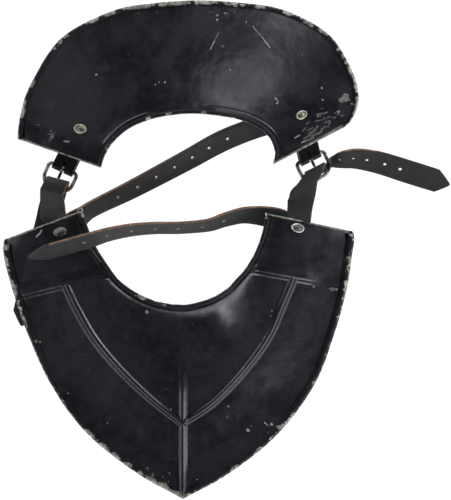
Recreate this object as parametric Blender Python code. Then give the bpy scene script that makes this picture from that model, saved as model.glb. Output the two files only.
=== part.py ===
"""Gorget of two black painted steel plates, joined by buckled leather straps and laid out flat, outside up.

The front plate points down the page (-Y), the back plate lies above it (+Y), and +Z is up from the table.
"""
import math

import bmesh
import bpy
from mathutils import Matrix, Vector

# Clearances, metres
GAP = 0.0003
ROOT_GAP = 0.0015
PIN_ROOM = 0.0005
LAYER_GAP = 0.0010
SLOT_ROOM = 0.0005

# How far the back plate lies past the front plate, and how far its middle lies to the right
PLATE_SPACE = 0.0375
BACK_SHIFT = 0.0048

# Steel sheet and its rolled edges: each roll is named by the radius of the middle of its wall
SHEET = 0.0012
ROLL_TURN = math.radians(280)
ROLL_STEPS = 7
COLLAR_RISE = 0.003
COLLAR_DEPTH = 0.009

# Front plate
FRONT_WIDTH = 0.305
FRONT_LENGTH = 0.251
FRONT_RISE = 0.039
FRONT_BULGE = 0.005
FRONT_NECK_ROLL = 0.0018
FRONT_OUTER_ROLL = 0.0030
RIDGE_RISE = 0.0022
RIDGE_HALF = 0.0037
KEEL_RISE = 0.0026
SHOULDER_RISE = 0.0014

# Back plate
BACK_WIDTH = 0.296
BACK_LENGTH = 0.144
BACK_RISE = 0.034
BACK_BULGE = 0.003
BACK_NECK_ROLL = 0.0024
BACK_OUTER_ROLL = 0.0020

# Leather
STRAP_WIDTH = 0.0205
STRAP = 0.0025
TAB_WIDTH = 0.0197
TAB = 0.0020
TAB_LENGTH = 0.037
TAB_LAP = 0.008
STRAP_LAP = 0.0065
ARROW = 0.0118
HOLE = 0.0014
LEFT_TAIL = 0.138
RIGHT_TAIL = 0.122

# Buckles
BUCKLE_WIDTH = 0.0290
BUCKLE_LENGTH = 0.0234
WIRE = 0.00165
BUCKLE_CORNER = 0.003
BUCKLE_BOW = 0.0105
PRONG_WIDTH = 0.0026
PRONG = 0.0014
FOLD_SLACK = 0.0023
LOOP = WIRE + STRAP / 2 + FOLD_SLACK

# Rivets
RIVET_HEAD = 0.0050
RIVET_DOME = 0.0024
RIVET_SHANK = 0.0021
RIVET_TAIL = 0.0040
RIVET_TAIL_THICK = 0.0012

# Sections of the front plate from the left cut edge to the keel, then from the keel to the right cut edge.
# Places across are shares of FRONT_WIDTH from the keel, places along are shares of FRONT_LENGTH from the tip,
# heights are shares of FRONT_RISE, and ridge is where the chest ridge crosses the section.
# neck across, neck along, neck height, outer across, outer along, outer height, ridge
FRONT_LEFT = (
    (-0.287, 1.000, 0.77, -0.511, 0.898, 0.087, 0.48),
    (-0.272, 0.941, 0.82, -0.509, 0.837, 0.087, 0.48),
    (-0.248, 0.872, 0.86, -0.495, 0.768, 0.087, 0.48),
    (-0.198, 0.780, 0.90, -0.478, 0.699, 0.092, 0.48),
    (-0.170, 0.744, 0.92, -0.444, 0.581, 0.092, 0.485),
    (-0.130, 0.711, 0.95, -0.375, 0.397, 0.062, 0.493),
    (-0.084, 0.686, 0.97, -0.275, 0.231, 0.023, 0.51),
    (-0.041, 0.674, 0.99, -0.138, 0.096, 0.005, 0.556),
    (-0.014, 0.671, 1.00, -0.019, 0.013, 0.000, 0.60),
    (0.000, 0.670, 1.00, 0.000, 0.000, 0.000, 0.62),
)
FRONT_RIGHT = (
    (0.000, 0.670, 1.00, 0.000, 0.000, 0.000, 0.62),
    (0.014, 0.671, 1.00, 0.020, 0.013, 0.000, 0.60),
    (0.041, 0.678, 0.99, 0.133, 0.090, 0.005, 0.572),
    (0.084, 0.695, 0.97, 0.272, 0.227, 0.005, 0.52),
    (0.126, 0.725, 0.95, 0.375, 0.397, 0.005, 0.49),
    (0.155, 0.761, 0.92, 0.432, 0.574, 0.005, 0.473),
    (0.181, 0.797, 0.90, 0.468, 0.733, 0.010, 0.468),
    (0.210, 0.858, 0.86, 0.481, 0.837, 0.010, 0.468),
    (0.231, 0.931, 0.82, 0.488, 0.893, 0.005, 0.468),
    (0.238, 0.990, 0.77, 0.486, 0.927, 0.005, 0.468),
)
# Sections of the back plate from the left cut edge over the top to the right cut edge, with the same columns
# as shares of BACK_WIDTH from its middle, BACK_LENGTH from its lower corner and BACK_RISE.
BACK = (
    (-0.258, 0.000, 0.88, -0.500, 0.181, 0.03, 0.5),
    (-0.247, 0.066, 0.90, -0.491, 0.332, 0.01, 0.5),
    (-0.224, 0.145, 0.91, -0.460, 0.511, 0.00, 0.5),
    (-0.176, 0.233, 0.94, -0.371, 0.782, 0.00, 0.5),
    (-0.112, 0.290, 0.97, -0.218, 0.946, 0.00, 0.5),
    (-0.047, 0.317, 0.99, -0.097, 0.986, 0.00, 0.5),
    (0.018, 0.326, 1.00, 0.021, 1.000, 0.00, 0.5),
    (0.085, 0.314, 0.99, 0.147, 0.989, 0.00, 0.5),
    (0.153, 0.288, 0.97, 0.279, 0.949, 0.00, 0.5),
    (0.209, 0.236, 0.94, 0.409, 0.807, 0.00, 0.5),
    (0.241, 0.178, 0.91, 0.478, 0.595, 0.00, 0.5),
    (0.256, 0.103, 0.90, 0.500, 0.423, 0.03, 0.5),
    (0.256, 0.060, 0.90, 0.485, 0.305, 0.11, 0.5),
    (0.250, 0.024, 0.90, 0.453, 0.260, 0.17, 0.5),
)
# Row of each front table where its shoulder ridge runs, and how many rows each ridge's foot lies from its crest
LEFT_SHOULDER = 3
RIGHT_SHOULDER = 6
FOOT = 0.14

# Rivets: table row and share of the way from the neck to the outer edge
FRONT_LEFT_RIVET = (0.78, 0.305)
FRONT_RIGHT_RIVET = (8.35, 0.362)
BACK_LEFT_RIVET = (1.67, 0.34)
BACK_RIGHT_RIVET = (10.15, 0.365)

# Headings, degrees from +X: the line across each strap at its rivet, each tab's run and each buckle's bar
LEFT_CLOSING_HEADING = 15
RIGHT_CLOSING_HEADING = -10
LEFT_LONG_HEADING = 127
RIGHT_LONG_HEADING = 65
LEFT_BAR_HEADING = -24.9
RIGHT_BAR_HEADING = 26.6
LEFT_TAB_HEADING = -116.0
RIGHT_TAB_HEADING = -76.5
LEFT_BUCKLE_ROLL = -9
RIGHT_BUCKLE_ROLL = 10
TAB_DROP = 0.0075
BUCKLE_PITCH = 4
# Reach of each closing strap's fold as a share of the bow's, its slip along the bar and its slant to the bar
LEFT_FOLD = 0.5995
RIGHT_FOLD = 0.6418
RIGHT_SLIDE = 1.2
LEFT_SLANT = 10
FOLD_BREADTH = 0.91

# In every strap table heading is the direction of the line across the strap, lean lifts that line's far end,
# both in degrees, and breadth is a share of STRAP_WIDTH.
# Closing straps from the rivet to the fold: way and height are shares of the way between them, side is a share
# of STRAP_WIDTH.
# way, side, height, heading, lean, breadth
LEFT_CLOSING_RISE = (
    (0.4224, -0.1064, 0.3938, 10, 16, 1.0),
    (0.7222, -0.0585, 0.6538, 2, 11, 1.0),
)
RIGHT_CLOSING_RISE = (
    (0.2544, -0.0563, 0.4864, -10, -18, 1.0),
    (0.6388, -0.1020, 0.8118, -3, -12, 1.0),
)
# Closing straps past the fold: across and along are shares of the free length from the bar, and height is a
# share of the way from lying flat on the table up to the bar.
# across, along, height, heading, lean, breadth
LEFT_CLOSING_TAIL = (
    (-0.0810, -0.2345, 0.306, -14, 0, 1.0),
    (-0.1031, -0.3291, 0.048, -14, 0, 1.0),
    (-0.1186, -0.3909, 0.000, -14, 0, 1.0),
    (-0.1893, -0.6692, 0.000, -14, 0, 1.0),
    (-0.2733, -0.9966, 0.000, -14, 0, 1.0),
)
RIGHT_CLOSING_TAIL = (
    (0.0915, -0.0815, 0.385, 45, 0, 0.85),
    (0.1290, -0.0527, 0.267, 68, 4, 0.65),
    (0.1615, -0.0301, 0.169, 84, 10, 0.50),
    (0.1965, -0.0198, 0.306, 88, 28, 0.70),
    (0.2465, -0.0136, 0.621, 90, 38, 0.90),
    (0.3440, -0.0095, 0.601, 84, 34, 1.0),
    (0.5015, -0.0383, 0.424, 76, 22, 1.0),
    (0.7065, -0.1021, 0.228, 73.5, 12, 1.0),
    (0.9115, -0.1659, 0.118, 76, 3, 0.98),
)
# Long straps: across and along are shares as in the front tables, and height is a share of FRONT_RISE.
# across, along, height, heading, lean, breadth
LEFT_LONG = (
    (-0.305, 0.962, 0.555, 128, 10, 1.0),
    (-0.283, 0.984, 0.53, 128, 32, 1.0),
    (-0.249, 1.010, 0.47, 125, 46, 1.0),
    (-0.139, 1.076, 0.38, 118, 34, 1.0),
    (0.008, 1.171, 0.33, 118, 32, 1.0),
    (0.107, 1.237, 0.28, 118, 30, 1.0),
    (0.195, 1.281, 0.22, 115, 26, 1.0),
    (0.292, 1.321, 0.17, 108, 14, 1.0),
    (0.345, 1.333, 0.12, 104, 5, 1.0),
)
RIGHT_LONG = (
    (0.257, 0.974, 0.51, 72, 26, 1.0),
    (0.181, 0.983, 0.55, 92, 50, 1.0),
    (0.121, 0.967, 0.62, 104, 58, 1.0),
    (0.073, 0.948, 0.68, 104, 62, 1.0),
    (-0.006, 0.939, 0.79, 93, 64, 1.0),
    (-0.079, 0.938, 0.92, 91, 64, 1.0),
    (-0.147, 0.931, 1.06, 97, 62, 1.0),
    (-0.213, 0.915, 1.24, 104, 59, 1.0),
    (-0.258, 0.898, 1.31, 106, 53, 1.0),
    (-0.332, 0.873, 1.02, 105, 46, 1.0),
    (-0.395, 0.850, 0.80, 105, 42, 1.0),
    (-0.417, 0.842, 0.72, 105, 40, 1.0),
)

# Punched holes of the free ends, each as a share of its strap's length from the tip
RIGHT_CLOSING_HOLES = (0.233, 0.305, 0.387, 0.448, 0.511)
LEFT_LONG_HOLES = (0.322, 0.393, 0.459, 0.528, 0.599, 0.672, 0.748)
RIGHT_LONG_HOLES = (0.226, 0.309, 0.398, 0.482, 0.561, 0.645, 0.720)

# Steps that measure a plate's slope at a rivet: a share of its section and of a table row
SHARE_STEP = 0.05
ROW_STEP = 0.2


def clear_scene():
    for item in list(bpy.data.objects):
        bpy.data.objects.remove(item, do_unlink=True)


def material(name, colour, roughness, metallic):
    made = bpy.data.materials.new(name)
    made.use_nodes = True
    shader = made.node_tree.nodes["Principled BSDF"]
    shader.inputs["Base Color"].default_value = (*colour, 1.0)
    shader.inputs["Roughness"].default_value = roughness
    shader.inputs["Metallic"].default_value = metallic
    made.diffuse_color = (*colour, 1.0)
    return made


def finish(name, mesh, colour, roughness, metallic):
    """One closed mesh as a named object with its own material."""
    bmesh.ops.recalc_face_normals(mesh, faces=mesh.faces)
    data = bpy.data.meshes.new(name)
    mesh.to_mesh(data)
    mesh.free()
    data.materials.append(material(name + "_finish", colour, roughness, metallic))
    made = bpy.data.objects.new(name, data)
    bpy.context.scene.collection.objects.link(made)
    return made


def between(table, place):
    """Row of a table at a place counted in rows, on a smooth curve through its rows."""
    last = len(table) - 1
    start = min(int(place), last - 1)
    t = place - start
    a, b, c, d = (table[max(0, min(last, start + step))] for step in (-1, 0, 1, 2))
    return [
        0.5 * (2 * q + (r - p) * t + (2 * p - 5 * q + 4 * r - s) * t**2 + (3 * q - p - 3 * r + s) * t**3)
        for p, q, r, s in zip(a, b, c, d)
    ]


def front_place(across, along):
    return Vector((across * FRONT_WIDTH, along * FRONT_LENGTH))


def back_place(across, along):
    corner = Vector((BACK_SHIFT, FRONT_LENGTH + PLATE_SPACE))
    return corner + Vector((across * BACK_WIDTH, along * BACK_LENGTH))


def lay_out(row, place, rise, bulge, neck_roll, outer_roll):
    """A section's plane and heights, from one row of a plate's table."""
    neck = place(row[0], row[1])
    outer = place(row[3], row[4])
    reach = (outer - neck).length
    drop = (row[2] - row[5]) * rise
    run = reach - 2 * (neck_roll + outer_roll)
    neck_slope = math.atan((drop - 4 * bulge) / run + 2 * COLLAR_RISE / COLLAR_DEPTH)
    outer_slope = math.atan((drop + 4 * bulge) / run)
    return {
        "neck": neck,
        "way": (outer - neck) / reach,
        "reach": reach,
        "bulge": bulge,
        "neck_slope": neck_slope,
        "outer_slope": outer_slope,
        "start": SHEET / 2 + neck_roll * (1 - math.sin(neck_slope)),
        "end": reach - SHEET / 2 - outer_roll * (1 + math.sin(outer_slope)),
        "top": row[2] * rise,
        "foot": row[5] * rise + SHEET / 2 + outer_roll * (1 - math.cos(outer_slope)),
        "neck_roll": neck_roll,
        "outer_roll": outer_roll,
        "ridge": row[6],
    }


def sheet_height(lay, s):
    """Height of the middle of the sheet at the distance s from the neck edge."""
    w = (s - lay["start"]) / (lay["end"] - lay["start"])
    near = max(0.0, 1 - (s - lay["start"]) / COLLAR_DEPTH)
    return lay["top"] + (lay["foot"] - lay["top"]) * w + lay["bulge"] * 4 * w * (1 - w) + COLLAR_RISE * near**2


def roll(centre, radius, away, normal, side):
    """Points of a rolled edge on the inner (-1) or outer (+1) side of its wall, from the sheet outwards."""
    points = []
    for step in range(1, ROLL_STEPS + 1):
        turn = ROLL_TURN * step / ROLL_STEPS
        reach = radius + side * SHEET / 2
        points.append(centre - normal * math.cos(turn) * reach + away * math.sin(turn) * reach)
    return points


def section(lay, stops, relief):
    """Upper and lower points of one section, as distance from the neck edge and height."""
    a = lay["neck_slope"]
    b = lay["outer_slope"]
    neck_normal = Vector((math.sin(a), math.cos(a)))
    outer_normal = Vector((math.sin(b), math.cos(b)))
    middle = [Vector((s, sheet_height(lay, s) + lift)) for s, lift in zip(stops, relief)]
    normals = []
    for i in range(len(middle)):
        run = middle[min(i + 1, len(middle) - 1)] - middle[max(i - 1, 0)]
        normals.append(Vector((-run.y, run.x)).normalized())
    normals[0] = neck_normal
    normals[-1] = outer_normal
    neck_centre = middle[0] + neck_normal * lay["neck_roll"]
    outer_centre = middle[-1] + outer_normal * lay["outer_roll"]
    neck_away = Vector((-math.cos(a), math.sin(a)))
    outer_away = Vector((math.cos(b), -math.sin(b)))
    sides = []
    for side in (-1, 1):
        sheet = [point - normal * side * SHEET / 2 for point, normal in zip(middle, normals)]
        neck_part = roll(neck_centre, lay["neck_roll"], neck_away, neck_normal, side)
        outer_part = roll(outer_centre, lay["outer_roll"], outer_away, outer_normal, side)
        sides.append(neck_part[::-1] + sheet + outer_part)
    return sides


def loft_plate(name, sections):
    """Closed shell through a list of (section layout, upper points, lower points)."""
    mesh = bmesh.new()
    rings = []
    for lay, upper, lower in sections:
        pair = []
        for points in (upper, lower):
            flat = [lay["neck"] + lay["way"] * point.x for point in points]
            pair.append([mesh.verts.new((spot.x, spot.y, point.y)) for spot, point in zip(flat, points)])
        rings.append(pair)
    count = len(rings[0][0])
    for (upper, lower), (next_upper, next_lower) in zip(rings, rings[1:]):
        for i in range(count - 1):
            mesh.faces.new((upper[i], upper[i + 1], next_upper[i + 1], next_upper[i]))
            mesh.faces.new((lower[i], next_lower[i], next_lower[i + 1], lower[i + 1]))
        for i in (0, count - 1):
            mesh.faces.new((upper[i], next_upper[i], next_lower[i], lower[i]))
    for upper, lower in (rings[0], rings[-1]):
        for i in range(count - 1):
            mesh.faces.new((upper[i], lower[i], lower[i + 1], upper[i + 1]))
    return finish(name, mesh, (0.012, 0.012, 0.014), 0.3, 0.0)


def front_section(table, place, crest_rise):
    """One section of the front plate: crest_rise is the height of a ridge that runs along it."""
    row = between(table, place)
    lay = lay_out(row, front_place, FRONT_RISE, FRONT_BULGE, FRONT_NECK_ROLL, FRONT_OUTER_ROLL)
    crest = lay["ridge"] * lay["reach"]
    collar = lay["start"] + COLLAR_DEPTH
    foot = crest - RIDGE_HALF
    far = crest + RIDGE_HALF
    end = lay["end"]
    stops = [
        lay["start"],
        lay["start"] + 0.45 * COLLAR_DEPTH,
        collar,
        (collar + foot) / 2,
        foot,
        crest,
        far,
        far + (end - far) / 3,
        far + (end - far) * 2 / 3,
        end,
    ]
    relief = [0.0] + [crest_rise] * (len(stops) - 2) + [0.0]
    return lay, stops, relief


def front_plate():
    sections = []
    left_stops = (0, 0.5, 1, 1.5, 2, 2.5, 3 - FOOT, 3, 3 + FOOT, 3.5, 4, 4.5, 5, 5.5, 6, 6.5, 7, 7.5, 8, 9)
    right_stops = (1, 1.5, 2, 2.5, 3, 3.5, 4, 4.5, 5, 5.5, 6 - FOOT, 6, 6 + FOOT, 6.5, 7, 7.5, 8, 8.5, 9)
    halves = (
        (FRONT_LEFT, left_stops, LEFT_SHOULDER, 9, lambda place: place >= LEFT_SHOULDER),
        (FRONT_RIGHT, right_stops, RIGHT_SHOULDER, 0, lambda place: place <= RIGHT_SHOULDER),
    )
    for table, stops, shoulder, keel, below in halves:
        for place in stops:
            rise = KEEL_RISE if place == keel else SHOULDER_RISE if place == shoulder else 0.0
            lay, distances, relief = front_section(table, place, rise)
            if below(place):
                relief[5] = max(relief[5], RIDGE_RISE)
            sections.append((lay, *section(lay, distances, relief)))
    return loft_plate("front_plate", sections)


def back_plate():
    sections = []
    for half_row in range(2 * len(BACK) - 1):
        lay = lay_out(
            between(BACK, half_row / 2), back_place, BACK_RISE, BACK_BULGE, BACK_NECK_ROLL, BACK_OUTER_ROLL
        )
        collar = lay["start"] + COLLAR_DEPTH
        span = lay["end"] - collar
        distances = [lay["start"], lay["start"] + 0.45 * COLLAR_DEPTH, collar]
        distances += [collar + span * share for share in (0.2, 0.4, 0.6, 0.8, 1.0)]
        sections.append((lay, *section(lay, distances, [0.0] * len(distances))))
    return loft_plate("back_plate", sections)


def plate_seat(table, spot, *shape):
    """Point on the middle of a plate's sheet at a rivet, and the plate's outward direction there."""

    def point(place, share):
        lay = lay_out(between(table, place), *shape)
        s = share * lay["reach"]
        flat = lay["neck"] + lay["way"] * s
        return Vector((flat.x, flat.y, sheet_height(lay, s)))

    place, share = spot
    centre = point(place, share)
    along = point(place, share + SHARE_STEP) - point(place, share - SHARE_STEP)
    round_way = point(place + ROW_STEP, share) - point(place - ROW_STEP, share)
    normal = along.cross(round_way).normalized()
    if normal.z < 0:
        normal = -normal
    return centre, normal


FRONT_SHAPE = (front_place, FRONT_RISE, FRONT_BULGE, FRONT_NECK_ROLL, FRONT_OUTER_ROLL)
BACK_SHAPE = (back_place, BACK_RISE, BACK_BULGE, BACK_NECK_ROLL, BACK_OUTER_ROLL)


def on_plane(heading, normal):
    """Unit vector that has the given heading and lies in the plane of the normal."""
    angle = math.radians(heading)
    flat = Vector((math.cos(angle), math.sin(angle), 0.0))
    flat.z = -(flat.x * normal.x + flat.y * normal.y) / normal.z
    return flat.normalized()


def ribbon(name, rows, thick, colour, roughness):
    """Flat leather through rows of (centre, line across, breadth)."""
    mesh = bmesh.new()
    rings = []
    for i, (centre, across, breadth) in enumerate(rows):
        run = rows[min(i + 1, len(rows) - 1)][0] - rows[max(i - 1, 0)][0]
        normal = across.cross(run).normalized()
        corners = ((-1, -1), (1, -1), (1, 1), (-1, 1))
        rings.append([
            mesh.verts.new(centre + across * side * breadth / 2 + normal * face * thick / 2)
            for side, face in corners
        ])
    for ring, following in zip(rings, rings[1:]):
        for i in range(4):
            j = (i + 1) % 4
            mesh.faces.new((ring[i], ring[j], following[j], following[i]))
    mesh.faces.new(rings[0])
    mesh.faces.new(rings[-1])
    return finish(name, mesh, colour, roughness, 0.0)


def smooth_rows(rows, steps):
    """More rows on smooth curves through the given ones."""
    table = [(*centre, *across, breadth) for centre, across, breadth in rows]
    made = []
    for step in range((len(rows) - 1) * steps + 1):
        values = between(table, step / steps)
        made.append((Vector(values[:3]), Vector(values[3:6]).normalized(), values[6]))
    return made


def line_across(heading, lean):
    turn = math.radians(heading)
    tip = math.radians(lean)
    return Vector((math.cos(turn) * math.cos(tip), math.sin(turn) * math.cos(tip), math.sin(tip)))


def long_rows(table):
    """Rows of a long strap, which lies over the front plate."""
    rows = []
    for across, along, height, heading, lean, breadth in table:
        flat = front_place(across, along)
        spot = Vector((flat.x, flat.y, height * FRONT_RISE))
        rows.append((spot, line_across(heading, lean), breadth * STRAP_WIDTH))
    return rows


def rise_rows(table, start, end):
    """Rows of a closing strap on its way from its rivet to its fold."""
    sideways = Vector((end.y - start.y, start.x - end.x, 0.0)).normalized()
    rows = []
    for share, side, height, heading, lean, breadth in table:
        spot = start.lerp(end, share) + sideways * side * STRAP_WIDTH
        spot.z = start.z + (end.z - start.z) * height
        rows.append((spot, line_across(heading, lean), breadth * STRAP_WIDTH))
    return rows


def tail_rows(table, bar, length):
    """Rows of a closing strap past its fold, down to the table."""
    rows = []
    for across, along, height, heading, lean, breadth in table:
        lift = STRAP / 2 + height * (bar.z - STRAP / 2)
        spot = Vector((bar.x + across * length, bar.y + along * length, lift))
        rows.append((spot, line_across(heading, lean), breadth * STRAP_WIDTH))
    return rows


def root_rows(seat, heading, layer, ahead):
    """The riveted end of a strap, flat under its plate, as a number of leather layers down."""
    centre, normal = seat
    line = on_plane(heading, normal)
    way = normal.cross(line).normalized() * ahead
    depth = SHEET / 2 + ROOT_GAP + STRAP / 2 + layer * (STRAP + LAYER_GAP)
    middle = centre - normal * depth
    return [(middle + way * share * STRAP_LAP, line, STRAP_WIDTH) for share in (-1.0, 0.0, 1.0)]


def tip_rows(rows, length):
    """Arrow end that carries a strap on past its last row."""
    centre, line, breadth = rows[-1]
    way = (centre - rows[-2][0]).normalized()
    return [(centre + way * length, line, 0.08 * breadth)]


def add_pin(mesh, centre, axis, radius, length, sides):
    spin = axis.to_track_quat("Z", "Y").to_matrix().to_4x4()
    bmesh.ops.create_cone(
        mesh,
        cap_ends=True,
        segments=sides,
        radius1=radius,
        radius2=radius,
        depth=length,
        matrix=Matrix.Translation(centre) @ spin,
    )


def cut(target, mesh):
    """Takes a closed mesh out of an object."""
    bmesh.ops.recalc_face_normals(mesh, faces=mesh.faces)
    data = bpy.data.meshes.new(target.name + "_cutter")
    mesh.to_mesh(data)
    mesh.free()
    cutter = bpy.data.objects.new(target.name + "_cutter", data)
    bpy.context.scene.collection.objects.link(cutter)
    cutter.hide_render = True
    cutter.display_type = "WIRE"
    step = target.modifiers.new("cut", "BOOLEAN")
    step.operation = "DIFFERENCE"
    step.solver = "EXACT"
    step.object = cutter


def rivet(name, seat, depth):
    """Domed rivet through a plate and the leather under it, depth being the stack below the plate's middle."""
    centre, normal = seat
    head = SHEET / 2 + GAP
    foot = -depth - 2 * GAP
    profile = [
        (0.0, head + RIVET_DOME),
        (RIVET_HEAD * 0.45, head + RIVET_DOME * 0.86),
        (RIVET_HEAD * 0.80, head + RIVET_DOME * 0.52),
        (RIVET_HEAD, head),
        (RIVET_SHANK, head),
        (RIVET_SHANK, foot),
        (RIVET_TAIL, foot),
        (RIVET_TAIL, foot - RIVET_TAIL_THICK),
        (0.0, foot - RIVET_TAIL_THICK),
    ]
    return spun(name, centre, normal, profile, 14, (0.35, 0.33, 0.26), 0.35, 1.0)


def spun(name, centre, normal, profile, sides, colour, roughness, metallic):
    """Solid of revolution about an axis, from a profile of radius and height that starts and ends on it."""
    mesh = bmesh.new()
    spin = Matrix.Translation(centre) @ normal.to_track_quat("Z", "Y").to_matrix().to_4x4()
    rings = []
    for radius, height in profile:
        if radius == 0.0:
            rings.append([mesh.verts.new(spin @ Vector((0, 0, height)))])
            continue
        turns = [2 * math.pi * i / sides for i in range(sides)]
        rings.append([
            mesh.verts.new(spin @ Vector((radius * math.cos(t), radius * math.sin(t), height))) for t in turns
        ])
    for ring, following in zip(rings, rings[1:]):
        for i in range(sides):
            j = (i + 1) % sides
            corners = [ring[i % len(ring)], ring[j % len(ring)]]
            corners += [following[j % len(following)], following[i % len(following)]]
            mesh.faces.new(list(dict.fromkeys(corners)))
    return finish(name, mesh, colour, roughness, metallic)


def buckle_axes(seat, tab_heading, bar_heading, roll_angle):
    """Axes of a buckle: X along its bar, -Y from the bar to the bow and Z up, with the bar's middle as origin."""
    centre, normal = seat
    way = math.radians(tab_heading)
    middle = centre - normal * (SHEET / 2 + ROOT_GAP + TAB)
    middle = middle + Vector((math.cos(way) * TAB_LENGTH, math.sin(way) * TAB_LENGTH, -TAB_DROP))
    turn = Matrix.Rotation(math.radians(bar_heading), 4, "Z")
    turn = turn @ Matrix.Rotation(math.radians(roll_angle), 4, "Y")
    turn = turn @ Matrix.Rotation(math.radians(BUCKLE_PITCH), 4, "X")
    return Matrix.Translation(middle) @ turn


def frame_path():
    """Middle line of a buckle's wire: a straight bar at the top and a round bow below."""
    half = BUCKLE_WIDTH / 2 - WIRE
    low = -(BUCKLE_LENGTH - 2 * WIRE)
    path = []
    corners = (
        (half - BUCKLE_CORNER, -BUCKLE_CORNER, BUCKLE_CORNER, 90, 0, 3),
        (half - BUCKLE_BOW, low + BUCKLE_BOW, BUCKLE_BOW, 0, -90, 5),
        (-half + BUCKLE_BOW, low + BUCKLE_BOW, BUCKLE_BOW, -90, -180, 5),
        (-half + BUCKLE_CORNER, -BUCKLE_CORNER, BUCKLE_CORNER, 180, 90, 3),
    )
    for x, y, radius, start, stop, steps in corners:
        for step in range(steps + 1):
            turn = math.radians(start + (stop - start) * step / steps)
            path.append(Vector((x + radius * math.cos(turn), y + radius * math.sin(turn), 0.0)))
    return path


def buckle_frame(name, axes):
    mesh = bmesh.new()
    path = frame_path()
    sides = 8
    rings = []
    for i, point in enumerate(path):
        run = (path[(i + 1) % len(path)] - path[i - 1]).normalized()
        outward = Vector((run.y, -run.x, 0.0))
        ring = []
        for k in range(sides):
            turn = 2 * math.pi * (k + 0.5) / sides
            spot = point + outward * WIRE * math.cos(turn) + Vector((0, 0, WIRE * math.sin(turn)))
            ring.append(mesh.verts.new(axes @ spot))
        rings.append(ring)
    for i, ring in enumerate(rings):
        following = rings[(i + 1) % len(rings)]
        for k in range(sides):
            j = (k + 1) % sides
            mesh.faces.new((ring[k], ring[j], following[j], following[k]))
    return finish(name, mesh, (0.16, 0.16, 0.15), 0.4, 1.0)


def buckle_prong(name, axes):
    """Flat tongue that wraps round the bar and rests on the bow."""
    around = WIRE + GAP + PRONG / 2
    bow = BUCKLE_LENGTH - 2 * WIRE
    line = axes.to_3x3() @ Vector((1, 0, 0))
    rows = [(around_bar(axes, around, angle), line, PRONG_WIDTH) for angle in range(-60, -271, -30)]
    for share, breadth in ((0.35, 1.0), (0.75, 0.85), (1.04, 0.6)):
        rows.append((axes @ Vector((0, -share * bow, around)), line, breadth * PRONG_WIDTH))
    return ribbon(name, rows, PRONG, (0.16, 0.16, 0.15), 0.4)


def around_bar(axes, radius, angle):
    """Point at a radius from a buckle's bar, 0 degrees being towards the bow and 90 up."""
    turn = math.radians(angle)
    return axes @ Vector((0, -radius * math.cos(turn), radius * math.sin(turn)))


def buckle_tab(name, seat, axes, heading):
    """Leather folded round a buckle's bar, both ends lying under the back plate at its rivet."""
    centre, normal = seat
    line = on_plane(heading + 90, normal)
    way = line.cross(normal).normalized()
    bar_line = axes.to_3x3() @ Vector((1, 0, 0))
    around = WIRE + PIN_ROOM + TAB / 2
    layers = []
    for depth, angle in ((tab_depth(0), 90), (tab_depth(1), -90)):
        middle = centre - normal * depth
        rows = [(middle + way * share * TAB_LAP, line, TAB_WIDTH) for share in (-1.0, 0.0, 1.0)]
        start = rows[-1][0]
        end = around_bar(axes, around, angle)
        for share in (0.33, 0.67):
            rows.append((start.lerp(end, share), line.lerp(bar_line, share).normalized(), TAB_WIDTH))
        layers.append(rows)
    fold = [(around_bar(axes, around, angle), bar_line, TAB_WIDTH) for angle in range(90, -91, -30)]
    made = ribbon(name, layers[0] + fold + layers[1][::-1], TAB, (0.02, 0.018, 0.017), 0.5)
    slot = bmesh.new()
    half = PRONG_WIDTH / 2 + SLOT_ROOM
    back = around + TAB
    size = Matrix.Diagonal((2 * half, 3 * back, 3 * back, 1.0))
    bmesh.ops.create_cube(slot, size=1.0, matrix=axes @ Matrix.Translation((0, -back / 2, 0)) @ size)
    add_pin(slot, centre - normal * tab_depth(0.5), normal, RIVET_SHANK + PIN_ROOM, 6 * TAB, 12)
    cut(made, slot)
    return made


def tab_depth(layer):
    """Depth of the middle of a tab's layer below the middle of the plate's sheet."""
    return SHEET / 2 + ROOT_GAP + TAB / 2 + layer * (TAB + LAYER_GAP)


def loop_rows(axes, reach, slide, slant, last):
    """A closing strap's turn round the bow: over it, down through the window and back below it.

    The strap slides along the bar as it comes up to the fold, by slide for each length along its run.
    """
    line = axes.to_3x3() @ Vector((math.cos(math.radians(slant)), math.sin(math.radians(slant)), 0))
    inner = -reach * (BUCKLE_LENGTH - 2 * WIRE)
    centre = inner - LOOP
    rows = [(axes @ Vector((slide * (-BUCKLE_LENGTH - inner), -BUCKLE_LENGTH, LOOP)), line, STRAP_WIDTH)]
    for angle in range(90, last - 1, -30):
        turn = math.radians(angle)
        run = LOOP * (1 - math.cos(turn))
        across = -slide * run if angle > 0 else slide * run
        spot = Vector((across, centre + LOOP * math.cos(turn), LOOP * math.sin(turn)))
        rows.append((axes @ spot, line, STRAP_WIDTH * FOLD_BREADTH))
    return rows


def before_tip(rows, share):
    """Centre and outward direction of a strap at a share of its length from the tip."""
    lengths = [(second[0] - first[0]).length for first, second in zip(rows, rows[1:])]
    left = share * sum(lengths)
    for i in range(len(lengths) - 1, -1, -1):
        if left <= lengths[i]:
            break
        left -= lengths[i]
    first, second = rows[i], rows[i + 1]
    way = (second[0] - first[0]).normalized()
    return second[0] - way * left, first[1].lerp(second[1], 0.5).cross(way).normalized()


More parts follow.
